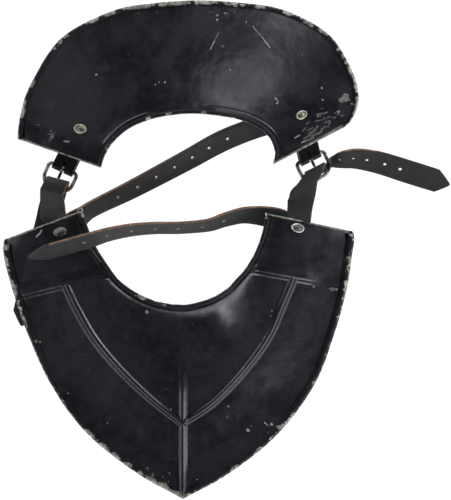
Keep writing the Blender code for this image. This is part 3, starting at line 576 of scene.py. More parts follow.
def worn_field(x, y, spots):
    """How bare the steel is at points of the frame, from a plate's worn stretches."""
    field = np.zeros_like(x)
    for px, py, reach, amount in spots:
        cx, cy = on_photo(px, py)
        near = np.exp(-(((x - cx) ** 2 + (y - cy) ** 2) / (reach * PIXEL * SPOT_REACH) ** 2) ** 1.5)
        field = np.maximum(field, near * amount)
    return field


def mouth(centre, axis, radius):
    """Points of a roll's open end, flared by the hammer: a short closed ring of the sheet's thickness."""
    spin = np.array(Vector(axis).to_track_quat("Z", "Y").to_matrix())
    turns = 2 * math.pi * np.arange(MOUTH_SIDES) / MOUTH_SIDES
    flat = np.stack([np.cos(turns), np.sin(turns)], -1)
    points = []
    for size, height in (
        (radius, -MOUTH_DEPTH),
        (radius, 0.0),
        (radius - MOUTH_LIP, MOUTH_LIP * 0.6),
        (radius - SHEET, 0.0),
        (radius - SHEET, -MOUTH_DEPTH),
    ):
        ring = np.concatenate([flat * size, np.full((MOUTH_SIDES, 1), height)], axis=1)
        points.append(np.array(centre) + ring @ spin.T)
    return np.array(points)


def ring_faces(first, second):
    """Faces between closed rows of point numbers and the rows that follow them."""
    return np.stack([first, second, np.roll(second, -1, 1), np.roll(first, -1, 1)], -1).reshape(-1, 4)


def plate_fields(worn, covered):
    """How worn a shell's points are, whether they are on the hidden inside, and whether on a rolled edge.

    Each is its name, a row of values a section and the value at the rolls' mouths. Covered says, a section,
    how far the outer roll is hammered flat, so that its lining is the plate's skin.
    """
    lining = worn[0].copy()
    lining[:, NECK_PART] = 0
    lining[:, OUTER_PART] *= (covered > COVERED)[:, None]
    worn_ring = np.concatenate([lining, worn[1][:, ::-1]], axis=1)
    count = lining.shape[1]
    inside = np.zeros_like(worn_ring)
    inside[:, count + ROLL_STEPS:-ROLL_STEPS] = 1.0
    rolled = np.zeros_like(worn_ring)
    for part in (NECK_PART, OUTER_PART, slice(count - ROLL_STEPS, count + ROLL_STEPS)):
        rolled[:, part] = 1.0
    # The plain cut edges have been handled as much as the rolls
    rolled[:CUT_SECTIONS] = 1.0
    rolled[-CUT_SECTIONS:] = 1.0
    return (("worn", worn_ring * (1 - inside), MOUTH_WEAR), ("inside", inside, 0.0), ("rolled", rolled, 1.0))


def plate_mesh(name, sides, worn, covered, materials, mouths=()):
    """Closed shell of a plate, with the mouths of its rolls."""
    upper, lower = sides
    sections, count = upper.shape[:2]
    ring = np.concatenate([upper, lower[:, ::-1]], axis=1) + np.array(ORIGIN)
    index = np.arange(sections * 2 * count).reshape(sections, 2 * count)
    quads = [ring_faces(index[:-1], index[1:])]
    for row in (index[0], index[-1]):
        near = row[:count]
        far = row[count:][::-1]
        quads.append(np.stack([near[:-1], near[1:], far[1:], far[:-1]], -1))
    body = sum(len(part) for part in quads)
    points = ring.reshape(-1, 3)
    for ends in mouths:
        rows, turns = ends.shape[:2]
        index = len(points) + np.arange(rows * turns).reshape(rows, turns)
        quads.append(ring_faces(index, np.roll(index, -1, 0)))
        points = np.concatenate([points, ends.reshape(-1, 3) + np.array(ORIGIN)])
    faces = np.concatenate(quads)
    data = bpy.data.meshes.new(name)
    data.from_pydata(points.tolist(), [], faces.tolist())
    data.polygons.foreach_set("use_smooth", np.ones(len(faces), bool))
    for material in materials:
        data.materials.append(material)
    slots = np.zeros(len(faces), np.int32)
    slots[body - 2 * (count - 1):body] = 1
    data.polygons.foreach_set("material_index", slots)
    for key, field, at_mouth in plate_fields(worn, covered):
        values = np.concatenate([field.ravel(), np.full(len(points) - field.size, at_mouth)])
        layer = data.attributes.new(key, "FLOAT", "POINT")
        layer.data.foreach_set("value", values.astype(np.float32))
    mesh = bmesh.new()
    mesh.from_mesh(data)
    bmesh.ops.recalc_face_normals(mesh, faces=mesh.faces)
    mesh.to_mesh(data)
    mesh.free()
    data.set_sharp_from_angle(angle=math.radians(STEEL_SHARP))
    return put(name, data)


def rubbed(distance, rub):
    """How bare a rubbed line makes each point, by its distance from the edge."""
    bare, start, stop = rub
    return bare * (1 - eased(distance, start, stop))


def plate_wear(points, lay, rims, skin, end):
    """How worn each point is, from a plate's worn rims, bare patches of its skin and its cut edge, whose line
    also carries a painted highlight.
    """
    x = points[:, :, 0] + ORIGIN.x
    y = points[:, :, 1] + ORIGIN.y
    out = ((points[:, :, :2] - lay["neck"][:, None]) * lay["way"][:, None]).sum(-1)
    far = lay["reach"][:, None] + EDGE_REACH - out
    # Rims are rubbed bare where they stand proud, in a line along their outermost millimetre
    near = np.minimum(far, out + NECK_REACH)
    fade, start, stop = RIM_FADE
    field = RIM_WEAR * worn_field(x, y, rims) * (1 - fade * eased(near, start, stop))
    field = np.maximum(field, rubbed(far, OUTER_RUB))
    field = np.maximum(field, rubbed(out + NECK_REACH, NECK_RUB))
    field = np.maximum(field, worn_field(x, y, skin))
    # The line along the cut edge is partly wear and partly a painted highlight
    return np.maximum(field, rubbed(edge_distance(points, *end), CUT_RUB_AND_HIGHLIGHT))


def edge_distance(points, spot, way):
    """Distance in plan of each point from the line of a cut edge."""
    return np.abs((points[:, :, 0] - spot[0]) * -way[1] + (points[:, :, 1] - spot[1]) * way[0])


# Swaged beads across their line: start, finish and change of height of each run
CHEST_BEAD = (
    (-0.0150, -0.0045, -0.0012), (-0.0045, -0.0013, 0.0032), (0.0003, 0.0014, -0.00076),
    (0.0030, 0.0046, -0.00114),
)
SHOULDER_BEAD = ((-0.0110, -0.0014, 0.0013), (-0.0005, 0.0005, -0.00052), (0.0026, 0.0038, -0.00062))
KEEL_BEAD = ((-0.0036, -0.0010, 0.0016), (0.0006, 0.0042, -0.0021), (0.0042, 0.0200, 0.0005))


def ribs(places, lay, s, flat, shoulder, ridge_places):
    """Relief of the front plate's swaged beads: chest bead, keel and shoulder bead.

    Shoulder is the shoulder bead's two ends in plan. Ridge_places are the rows between which the chest bead
    runs.
    """
    crest = (lay["ridge"] * lay["reach"])[:, None]
    low, high = ridge_places
    ridge_on = eased(places, low - 0.05, low + 0.03) * (1 - eased(places, high - 0.03, high + 0.05))
    chest = bead(s - crest, CHEST_BEAD) * ridge_on[:, None]
    start, end = shoulder
    line = (end - start) / np.linalg.norm(end - start)
    off = (flat[:, :, 0] - start[0]) * line[1] - (flat[:, :, 1] - start[1]) * line[0]
    yoke = bead(off if line[0] > 0 else -off, SHOULDER_BEAD)
    # The left shoulder bead is lower beside the neck, and both fade towards the outer edge
    past = s - crest
    if line[0] < 0:
        yoke *= 0.55 + 0.35 * eased(past, -0.002, 0.004) * (1 - 0.5 * eased(past, 0.012, 0.030))
    else:
        yoke *= 1 - 0.85 * eased(past, 0.008, 0.026)
    # The keel is low and soft by the neck and crisp towards the tip
    crisp = 0.16 + 0.84 * (1 - eased(flat[:, :, 1], 0.088, 0.125))
    middle = bead(flat[:, :, 0], KEEL_BEAD) * crisp
    relief = np.maximum(chest, yoke)
    relief = np.where(middle > 0.0001, np.maximum(relief, middle), relief + middle)
    inside = s - lay["start"][:, None]
    return relief * eased(inside, 0.0035, 0.0065) * eased(lay["end"][:, None] - s, 0.0, 0.005)


def collar(s, rise, reach):
    """Raised terrace along the neck roll: level to the crease, and easing away outwards from there."""
    past = np.clip(s - COLLAR_CREASE, 0, None)
    return rise * np.exp(-past / reach)


def skin_dents(lay, s, flat, seed):
    """Dents of a plate's skin, which fade out towards its neck roll."""
    return dents(flat[:, :, 0], flat[:, :, 1], seed) * eased(s - lay["start"][:, None], 0.002, 0.012)


# Fuller part of the chest by the neck: its middle in plan, reach and height
CHEST_SWELL = (0.0256, 0.1765, 0.0175, 0.0092)
# Collar on the shoulder, as height and the reach over which it eases away, and what the chest adds to them
SHOULDER_COLLAR = (0.0006, 0.0012)
CHEST_COLLAR = (0.0020, 0.0030)
# Collar of the back plate: its height at most and its reach
NAPE_COLLAR = (0.0012, 0.0018)
# Where in the noise each plate takes its dents from
FRONT_DENTS = 3.0
BACK_DENTS = 11.0
# Steps between the marks of a section
FRONT_RUNS = (
    ("start", "crease", 12), ("crease", "brow", 1), ("brow", "collar", 16), ("collar", "foot", 8),
    ("foot", "far", 34), ("far", "edge", 16), ("edge", "end", 7),
)
BACK_RUNS = (
    ("start", "crease", 14), ("crease", "brow", 1), ("brow", "collar", 16), ("collar", "edge", 34),
    ("edge", "end", 7),
)
# Where along its table each plate has sections: first row, last row and number of steps of each run
LEFT_STATIONS = ((0, 0.2, 8), (0.2, 2.6, 36), (2.6, 3.3, 34), (3.3, 8, 84), (8, 9, 22))
RIGHT_STATIONS = ((0, 1, 22), (1, 5.8, 86), (5.8, 6.25, 32), (6.25, 8.8, 38), (8.8, 9, 8))
BACK_STATIONS = ((0, 0.2, 8), (0.2, 12.8, 262), (12.8, 13, 8))
# How far the tops of the rolls' open ends are cut back: neck and outer roll at the first section, then the
# same at the last
LEFT_SET_BACK = ((0.0010, 0.0060), (0, 0))
RIGHT_SET_BACK = ((0, 0), (0.0035, 0.0025))
BACK_SET_BACK = ((0.002, 0.0025), (0.0030, 0.002))


def stations(runs):
    """Places of a plate's sections, from runs of first place, last place and number of steps."""
    places = [np.linspace(first, last, steps, endpoint=False) for first, last, steps in runs]
    return np.concatenate([*places, [runs[-1][1]]])


def shoulder_line(table, row):
    """Ends in plan of the shoulder bead, which runs along one row of a plate's table."""
    section = np.array(table[row:row + 1])
    return front_place(section[:, 0], section[:, 1])[0], front_place(section[:, 3], section[:, 4])[0]


def front_half(table, places, row, span, full, flush, narrow, set_back):
    """Points of one half of the front plate, outer and inner, and how worn each of them is.

    Row is the shoulder bead's row and span the rows between which the chest bead runs. Full says how far a
    section has the chest's high collar rather than the shoulder's low one.
    """
    line = shoulder_line(table, row)
    rise, reach = (low + more * full[:, None] for low, more in zip(SHOULDER_COLLAR, CHEST_COLLAR))

    def relief(at, lay, s, flat):
        made = ribs(at, lay, s, flat, line, span)
        made = made + collar(s, rise, reach)
        # The chest is fuller by the neck on the right of the keel
        x, y, width, height = CHEST_SWELL
        away = (flat[:, :, 0] - x) ** 2 + (flat[:, :, 1] - y) ** 2
        made = made + height * np.exp(-away / (2 * width ** 2))
        return made + skin_dents(lay, s, flat, FRONT_DENTS)

    sides, lay = plate_points(table, FRONT_SHAPE, places, FRONT_RUNS, relief, flush, narrow, set_back)
    at = 0 if row == LEFT_SHOULDER else -1
    end = (lay["neck"][at], lay["way"][at])
    return [*sides, *[plate_wear(points, lay, FRONT_WORN, FRONT_BARE, end) for points in sides]]


def roll_mouths(lower):
    """The rolls' open ends, which show at the left shoulder."""
    mouths = []
    for part, station, radius in ((NECK_PART, 0, NECK_MOUTH), (OUTER_PART, 12, OUTER_MOUTH)):
        middle = lower[station, part].mean(0)
        ahead = middle - lower[station + 6, part].mean(0)
        axis = ahead / np.linalg.norm(ahead) + np.array((0.0, 0.0, 1.3))
        axis /= np.linalg.norm(axis)
        mouths.append(mouth(middle + axis * MOUTH_DEPTH, axis, radius))
    return mouths


def front_plate(materials):
    """The front plate: two halves that meet on the keel, with stretches given in rows of its tables."""
    left = stations(LEFT_STATIONS)
    right = stations(RIGHT_STATIONS)
    left_flush = 0.5 * eased(left, -2.5, 3.0) + 0.5 * eased(left, 4.5, 5.4)
    right_flush = 0.5 * (1 - eased(right, 6.0, 11.5)) + 0.5 * (1 - eased(right, 2.7, 3.6))
    left_narrow = 0.72 + 0.43 * (1 - eased(left, 0.2, 1.0))
    right_narrow = 0.72 + 0.28 * eased(right, 8.3, 9.0)
    left_full = eased(left, 2.6, 3.2)
    right_full = 1 - eased(right, 5.8, 6.3)
    halves = (
        front_half(
            FRONT_LEFT, left, LEFT_SHOULDER, (LEFT_SHOULDER, BEYOND),
            left_full, left_flush, left_narrow, LEFT_SET_BACK,
        ),
        front_half(
            FRONT_RIGHT, right, RIGHT_SHOULDER, (-BEYOND, RIGHT_SHOULDER),
            right_full, right_flush, right_narrow, RIGHT_SET_BACK,
        ),
    )
    joined = [np.concatenate([first, second[1:]]) for first, second in zip(*halves)]
    covered = np.concatenate([left_flush, right_flush[1:]])
    mouths = roll_mouths(joined[1])
    return plate_mesh("front_plate_steel", joined[:2], joined[2:], covered, materials, mouths)


def back_plate(materials):
    """The back plate. Its collar fades out over the nape and towards the open ends."""
    places = stations(BACK_STATIONS)
    left_lip = eased(places, 1.1, 2.1) * (1 - eased(places, 3.7, 4.5))
    right_lip = 0.9 * eased(places, 6.1, 7.0) * (1 - 0.85 * eased(places, 9.2, 11.2))
    rise, reach = NAPE_COLLAR
    lip = rise * (left_lip + right_lip)[:, None]

    def relief(at, lay, s, flat):
        return collar(s, lip, reach) + skin_dents(lay, s, flat, BACK_DENTS)

    flush = 0.45 * eased(places, 0.1, 0.8) * (1 - eased(places, 12.2, 12.9))
    narrow = 0.6 + places * 0
    sides, lay = plate_points(BACK, BACK_SHAPE, places, BACK_RUNS, relief, flush, narrow, BACK_SET_BACK)
    ends = [(lay["neck"][at], lay["way"][at]) for at in (0, -1)]
    worn = []
    for points in sides:
        first, last = (plate_wear(points, lay, BACK_WORN, BACK_BARE, end) for end in ends)
        worn.append(np.maximum(first, last))
    return plate_mesh("back_plate_steel", sides, worn, flush, materials)


# Leather, buckles and rivets


def seat(table, spot, shape):
    """Point on the middle of a plate's sheet at a rivet, and the plate's outward direction there."""

    def point(place, share):
        lay = lay_out(between(table, place), *shape)
        s = np.array([[share * lay["reach"][0]]])
        flat = lay["neck"][0] + lay["way"][0] * s[0, 0]
        return Vector((*flat, sheet_height(lay, s)[0, 0]))

    place, share = spot
    along = point(place, share + 0.05) - point(place, share - 0.05)
    round_way = point(place + 0.2, share) - point(place - 0.2, share)
    normal = along.cross(round_way).normalized()
    return point(place, share) + ORIGIN, normal if normal.z > 0 else -normal


def on_plane(heading, normal):
    """Direction with a heading in plan that lies square to a normal."""
    angle = math.radians(heading)
    flat = Vector((math.cos(angle), math.sin(angle), 0.0))
    flat.z = -(flat.x * normal.x + flat.y * normal.y) / normal.z
    return flat.normalized()


def line_across(heading, lean):
    """Direction of a line across a strap: its heading in plan, and how far it leans up from there."""
    turn = math.radians(heading)
    tip = math.radians(lean)
    return Vector((math.cos(turn) * math.cos(tip), math.sin(turn) * math.cos(tip), math.sin(tip)))


def smooth_rows(rows, steps):
    """More rows of (centre, line across, breadth) on smooth curves through the given ones."""
    table = [(*centre, *across, breadth) for centre, across, breadth in rows]
    values = between(table, np.arange((len(rows) - 1) * steps + 1) / steps)
    return [(Vector(v[:3]), Vector(v[3:6]).normalized(), float(v[6])) for v in values]


def long_rows(table):
    """Rows of a long strap, placed by shares of the front plate's width, length and rise."""
    rows = []
    for across, along, height, heading, lean, breadth in table:
        spot = Vector((across * FRONT_WIDTH, along * FRONT_LENGTH, height * FRONT_RISE)) + ORIGIN
        rows.append((spot, line_across(heading, lean), breadth * STRAP_WIDTH))
    return rows


def rise_rows(table, start, end):
    """Rows of a closing strap on its way from start, its rivet, to end, where it comes to the bow."""
    sideways = Vector((end.y - start.y, start.x - end.x, 0.0)).normalized()
    rows = []
    for share, side, height, heading, lean, breadth in table:
        spot = start.lerp(end, share) + sideways * side * STRAP_WIDTH
        spot.z = start.z + (end.z - start.z) * height
        rows.append((spot, line_across(heading, lean), breadth * STRAP_WIDTH))
    return rows


def tail_rows(table, bar, length):
    """Rows of a closing strap's tail, placed from the buckle's bar by shares of the tail's length."""
    floor = ORIGIN.z + STRAP / 2
    rows = []
    for across, along, height, heading, lean, breadth in table:
        spot = Vector((bar.x + across * length, bar.y + along * length, floor + height * (bar.z - floor)))
        rows.append((spot, line_across(heading, lean), breadth * STRAP_WIDTH))
    return rows


def root_rows(place, heading, layer, ahead):
    """The riveted end of a strap, flat under its plate, a number of leather layers down."""
    centre, normal = place
    line = on_plane(heading, normal)
    way = normal.cross(line).normalized() * ahead
    middle = centre - normal * (SHEET / 2 + ROOT_GAP + STRAP / 2 + layer * (STRAP + LAYER_GAP))
    return [(middle + way * share * STRAP_LAP, line, STRAP_WIDTH) for share in (-1.0, 0.0, 1.0)]


def buckle_axes(place, tab_heading, bar_heading, roll_angle):
    """Axes of a buckle from its bar's middle: X along the bar, -Y from the bar to the bow and Z up."""
    centre, normal = place
    way = math.radians(tab_heading)
    middle = centre - normal * (SHEET / 2 + ROOT_GAP + TAB)
    middle = middle + Vector((math.cos(way) * TAB_LENGTH, math.sin(way) * TAB_LENGTH, -TAB_DROP))
    turn = Matrix.Rotation(math.radians(bar_heading), 4, "Z")
    turn = turn @ Matrix.Rotation(math.radians(roll_angle), 4, "Y")
    turn = turn @ Matrix.Rotation(math.radians(BUCKLE_PITCH), 4, "X")
    return Matrix.Translation(middle) @ turn


def around_bar(axes, radius, angle):
    """Point round the bar at an angle in degrees, 0 being towards the bow and 90 above the bar."""
    turn = math.radians(angle)
    return axes @ Vector((0, -radius * math.cos(turn), radius * math.sin(turn)))


def loop_rows(axes, reach, slide, slant, last, lead=(0.0, 1.0)):
    """A closing strap's turn round the bow: over it, down through the window and back below it.

    Lead is how far the strap lies to one side as it comes to the bow, and its breadth there. On its way over
    the bow it bulges a little past that.
    """
    line = axes.to_3x3() @ Vector((math.cos(math.radians(slant)), math.sin(math.radians(slant)), 0))
    inner = -reach * (BUCKLE_LENGTH - 2 * WIRE)
    centre = inner - LOOP
    across = slide * (-BUCKLE_LENGTH - inner) + lead[0]
    rows = [(axes @ Vector((across, -BUCKLE_LENGTH, LOOP)), line, lead[1] * STRAP_WIDTH)]
    for share, bulge in BOW_BULGE:
        along = share * centre - (1 - share) * BUCKLE_LENGTH
        spot = Vector((slide * (along - inner) + bulge * lead[0], along, LOOP))
        rows.append((axes @ spot, line, STRAP_WIDTH * (FOLD_BREADTH + bulge * (lead[1] - FOLD_BREADTH))))
    for angle in range(90, last - 1, -30):
        turn = math.radians(angle)
        run = LOOP * (1 - math.cos(turn))
        above = max(0, (angle - 30) / 90)
        across = (-slide * run if angle > 0 else slide * run) + above * lead[0]
        breadth = FOLD_BREADTH + above * (lead[1] - FOLD_BREADTH)
        spot = Vector((across, centre + LOOP * math.cos(turn), LOOP * math.sin(turn)))
        rows.append((axes @ spot, line, STRAP_WIDTH * breadth))
    return rows


def solid(name, mesh, materials, sharp=STEEL_SHARP):
    """One closed mesh as a smooth shaded object."""
    bmesh.ops.recalc_face_normals(mesh, faces=mesh.faces)
    for face in mesh.faces:
        face.smooth = True
    data = bpy.data.meshes.new(name)
    mesh.to_mesh(data)
    mesh.free()
    for material in materials:
        data.materials.append(material)
    data.set_sharp_from_angle(angle=math.radians(sharp))
    return put(name, data)


def bridge(mesh, ring, following):
    """Faces between one closed ring of points and the next. Either may be a single point."""
    faces = []
    for i in range(max(len(ring), len(following))):
        corners = [ring[i % len(ring)], ring[(i + 1) % len(ring)]]
        corners += [following[(i + 1) % len(following)], following[i % len(following)]]
        faces.append(mesh.faces.new(list(dict.fromkeys(corners))))
    return faces


def row_ways(centres):
    """The way from the point before each point of an open line to the point after it."""
    last = len(centres) - 1
    return [centres[min(i + 1, last)] - centres[max(i - 1, 0)] for i in range(last + 1)]


def leather_ring(centre, across, normal, breadth, thick):
    """Outline of cut leather with slightly rounded arrises. Faces follow as grain, edge, flesh, edge."""
    half = breadth / 2
    arris = min(ARRIS, 0.3 * half)
    deep = thick / 2
    steps = LEATHER_STEPS
    top = [(half - arris - (2 * half - 2 * arris) * i / steps, deep) for i in range(steps + 1)]
    left = [(-half + arris * 0.3, deep - arris * 0.3), (-half, deep - arris), (-half, arris - deep)]
    left.append((-half + arris * 0.3, arris * 0.3 - deep))
    bottom = [(-x, -y) for x, y in top]
    right = [(-x, -y) for x, y in left]
    return [centre + across * x + normal * y for x, y in top + left + bottom + right]


# Material slots round a leather ring. One edge keeps the knife's brown and the other was dyed
RING_SLOTS = [0] * LEATHER_STEPS + [3] * 5 + [2] * LEATHER_STEPS + [1] * 5


def ribbon(name, rows, thick, materials, dyed_from=None, brown_to=None):
    """Cut leather through rows of (centre, line across, breadth): grain on one face, flesh on the other.

    From the row dyed_from the flesh is dyed, and from the row brown_to both edges are.
    """
    mesh = bmesh.new()
    rings = []
    for (centre, across, breadth), run in zip(rows, row_ways([row[0] for row in rows])):
        normal = across.cross(run).normalized()
        rings.append([mesh.verts.new(spot) for spot in leather_ring(centre, across, normal, breadth, thick)])
    for step, (ring, following) in enumerate(zip(rings, rings[1:])):
        for face, slot in zip(bridge(mesh, ring, following), RING_SLOTS):
            dyed = slot == 2 and dyed_from is not None and step >= dyed_from
            dyed = dyed or (slot == 1 and brown_to is not None and step >= brown_to)
            face.material_index = 3 if dyed else slot
    for ring in (rings[0], rings[-1]):
        mesh.faces.new(ring).material_index = 3
    return solid(name, mesh, materials, LEATHER_SHARP)


def add_pin(mesh, centre, axis, radius, length):
    """Adds a round pin to a mesh, for a hole."""
    spin = axis.to_track_quat("Z", "Y").to_matrix().to_4x4()
    bmesh.ops.create_cone(
        mesh,
        cap_ends=True,
        segments=HOLE_SIDES,
        radius1=radius,
        radius2=radius,
        depth=length,
        matrix=Matrix.Translation(centre) @ spin,
    )


def cut(target, mesh, slot):
    """Takes a closed mesh out of an object for good. The cut faces get the target's material of that slot."""
    bmesh.ops.recalc_face_normals(mesh, faces=mesh.faces)
    data = bpy.data.meshes.new("cutter")
    mesh.to_mesh(data)
    mesh.free()
    data.materials.append(target.data.materials[slot])
    cutter = put("cutter", data)
    step = target.modifiers.new("cut", "BOOLEAN")
    step.operation = "DIFFERENCE"
    step.solver = "EXACT"
    step.material_mode = "TRANSFER"
    step.object = cutter
    done = bpy.data.meshes.new_from_object(target.evaluated_get(bpy.context.evaluated_depsgraph_get()))
    target.modifiers.clear()
    target.data = done
    done.set_sharp_from_angle(angle=math.radians(LEATHER_SHARP))
    bpy.data.objects.remove(cutter, do_unlink=True)


def before_tip(rows, share):
    """Centre and outward direction of a strap at a share of its length from the tip."""
    lengths = [(second[0] - first[0]).length for first, second in zip(rows, rows[1:])]
    left = share * sum(lengths)
    for i in range(len(lengths) - 1, -1, -1):
        if left <= lengths[i]:
            break
        left -= lengths[i]
    first, second = rows[i], rows[i + 1]
    way = (second[0] - first[0]).normalized()
    return second[0] - way * left, first[1].lerp(second[1], 0.5).cross(way).normalized()


def strap(name, rows, shares, place, arrow, brown, materials, axes=None, dyed_from=None):
    """A strap through its rows, with an arrow end, punched holes, its rivet's hole and a buckle prong's hole.

    Shares are the holes' places from the tip. Brown is the share of its rows along which one edge is still
    brown.
    """
    smooth = smooth_rows(rows, STRAP_STEPS)
    centre, line, breadth = smooth[-1]
    way = (centre - smooth[-2][0]).normalized()
    for share, left in ARROW_SHAPE:
        smooth.append((centre + way * share * arrow, line, left * breadth))
    if dyed_from is not None:
        dyed_from *= STRAP_STEPS
    brown_to = round(brown * (len(smooth) - len(ARROW_SHAPE) - 1))
    made = ribbon(name, smooth, STRAP, materials, dyed_from, brown_to)
    if shares:
        holes = bmesh.new()
        for share in shares:
            spot, outward = before_tip(smooth, share)
            add_pin(holes, spot, outward, HOLE, 3 * STRAP)
        # The holes' walls take slot 4, which on the long straps is painted pale as a glint
        cut(made, holes, 4)
    holes = bmesh.new()
    centre, normal = place
    add_pin(holes, centre - normal * (SHEET + STRAP), normal, RIVET_SHANK + PIN_ROOM, 6 * STRAP)
    if axes:
        # The prong's hole runs over the far seven tenths of the way to the bow
        bow = BUCKLE_LENGTH - 2 * WIRE
        height = WIRE + GAP + PRONG / 2
        size = Matrix.Diagonal((PRONG_WIDTH + 2 * PIN_ROOM, bow * 0.7, PRONG + 2 * PIN_ROOM, 1.0))
        spot = Matrix.Translation((0, -bow * 0.65, height))
        bmesh.ops.create_cube(holes, size=1.0, matrix=axes @ spot @ size)
    cut(made, holes, 3)
    return made


def buckle_frame(name, axes, material):
    """D-shaped frame of round wire, straight at its bar and round at its bow."""
    half = BUCKLE_WIDTH / 2 - WIRE
    low = -(BUCKLE_LENGTH - 2 * WIRE)
    path = []
    for x, y, radius, start, stop, steps in (
        (half - BUCKLE_CORNER, -BUCKLE_CORNER, BUCKLE_CORNER, 90, 0, 7),
        (half - BUCKLE_BOW, low + BUCKLE_BOW, BUCKLE_BOW, 0, -90, 14),
        (-half + BUCKLE_BOW, low + BUCKLE_BOW, BUCKLE_BOW, -90, -180, 14),
        (-half + BUCKLE_CORNER, -BUCKLE_CORNER, BUCKLE_CORNER, 180, 90, 7),
    ):
        for step in range(steps + 1):
            turn = math.radians(start + (stop - start) * step / steps)
            path.append(Vector((x + radius * math.cos(turn), y + radius * math.sin(turn), 0.0)))
    mesh = bmesh.new()
    rings = []
    for i, point in enumerate(path):
        run = (path[(i + 1) % len(path)] - path[i - 1]).normalized()
        outward = Vector((run.y, -run.x, 0.0))
        turns = [2 * math.pi * (k + 0.5) / WIRE_SIDES for k in range(WIRE_SIDES)]
        rings.append([
            mesh.verts.new(axes @ (point + outward * WIRE * math.cos(t) + Vector((0, 0, WIRE * math.sin(t)))))
            for t in turns
        ])
    for ring, following in zip(rings, rings[1:] + rings[:1]):
        bridge(mesh, ring, following)
    return solid(name, mesh, [material])


def rounded_bar(name, rows, thick, material):
    """Bar of a rounded section through rows of (centre, line across, breadth)."""
    mesh = bmesh.new()
    rings = []
    for (centre, across, breadth), run in zip(rows, row_ways([row[0] for row in rows])):
        normal = across.cross(run).normalized()
        ring = []
        for k in range(PRONG_SIDES):
            turn = 2 * math.pi * (k + 0.5) / PRONG_SIDES
            c, s = math.cos(turn), math.sin(turn)
            x = math.copysign(abs(c) ** 0.6, c) * breadth / 2
            y = math.copysign(abs(s) ** 0.6, s) * thick / 2
            ring.append(mesh.verts.new(centre + across * x + normal * y))
        rings.append(ring)
    for ring, following in zip(rings, rings[1:]):
        bridge(mesh, ring, following)
    mesh.faces.new(rings[0])
    mesh.faces.new(rings[-1])
    return solid(name, mesh, [material])


def buckle_prong(name, axes, material):
    """Flat tongue that wraps round the bar and rests on the bow."""
    around = WIRE + GAP + PRONG / 2
    bow = BUCKLE_LENGTH - 2 * WIRE
    line = axes.to_3x3() @ Vector((1, 0, 0))
    rows = [(around_bar(axes, around, angle), line, PRONG_WIDTH) for angle in range(-60, -271, -30)]
    for share, breadth in PRONG_SHAPE:
        rows.append((axes @ Vector((0, -share * bow, around)), line, breadth * PRONG_WIDTH))
    return rounded_bar(name, smooth_rows(rows, 3), PRONG, material)


def buckle_tab(name, place, axes, heading, materials):
    """Leather folded round a buckle's bar, both ends lying under the back plate at its rivet."""
    centre, normal = place
    line = on_plane(heading + 90, normal)
    way = line.cross(normal).normalized()
    bar_line = axes.to_3x3() @ Vector((1, 0, 0))
    around = WIRE + PIN_ROOM + TAB / 2
    layers = []
    for layer, angle in ((0, 90), (1, -90)):
        middle = centre - normal * (SHEET / 2 + ROOT_GAP + TAB / 2 + layer * (TAB + LAYER_GAP))
        rows = [(middle + way * share * TAB_LAP, line, TAB_WIDTH) for share in (-1.0, 0.0, 1.0)]
        start = rows[-1][0]
        end = around_bar(axes, around, angle)
        for share in (0.33, 0.67):
            rows.append((start.lerp(end, share), line.lerp(bar_line, share).normalized(), TAB_WIDTH))
        layers.append(rows)
    fold = [(around_bar(axes, around, angle), bar_line, TAB_WIDTH) for angle in range(90, -91, -30)]
    made = ribbon(name, smooth_rows(layers[0] + fold + layers[1][::-1], 3), TAB, materials)
    slot = bmesh.new()
    back = around + TAB
    size = Matrix.Diagonal((PRONG_WIDTH + 2 * SLOT_ROOM, 3 * back, 3 * back, 1.0))
    bmesh.ops.create_cube(slot, size=1.0, matrix=axes @ Matrix.Translation((0, -back / 2, 0)) @ size)
    hole = centre - normal * (SHEET / 2 + ROOT_GAP + TAB / 2 + 0.5 * (TAB + LAYER_GAP))
    add_pin(slot, hole, normal, RIVET_SHANK + PIN_ROOM, 6 * TAB)
    cut(made, slot, 3)
    return made


def rivet(name, place, depth, profile, heading, oval, materials):
    """Rivet through a plate and the leather under it.

    Profile is its head, as radius, height above the plate and material slot. Heading is the head's long axis,
    oval the shares of the radius along and across it, and depth the stack below the middle of the plate.
    """
    centre, normal = place
    long_way = on_plane(heading, normal)
    short_way = normal.cross(long_way)
    head = SHEET / 2 + GAP
    foot = -depth - 2 * GAP
    tail = foot - RIVET_TAIL_THICK
    outline = [(radius, head + height, slot, *oval) for radius, height, slot in profile]
    for radius, height in (
        (RIVET_SHANK, head),
        (RIVET_SHANK, foot),
        (RIVET_TAIL, foot),
        (RIVET_TAIL, tail + TAIL_ROUND[1]),
        (RIVET_TAIL - TAIL_ROUND[0], tail),
        (0.0, tail),
    ):
        outline.append((radius, height, 1, 1, 1))
    mesh = bmesh.new()
    rings = []
    for radius, height, _, wide, narrow in outline:
        if radius == 0.0:
            rings.append([mesh.verts.new(centre + normal * height)])
            continue
        ring = []
        for i in range(RIVET_SIDES):
            turn = 2 * math.pi * i / RIVET_SIDES
            around = long_way * math.cos(turn) * radius * wide + short_way * math.sin(turn) * radius * narrow
            ring.append(mesh.verts.new(centre + normal * height + around))
        rings.append(ring)
    for ring, following, section in zip(rings, rings[1:], outline):
        for face in bridge(mesh, ring, following):
            face.material_index = section[2]
    return solid(name, mesh, materials, RIVET_SHARP)


# Materials


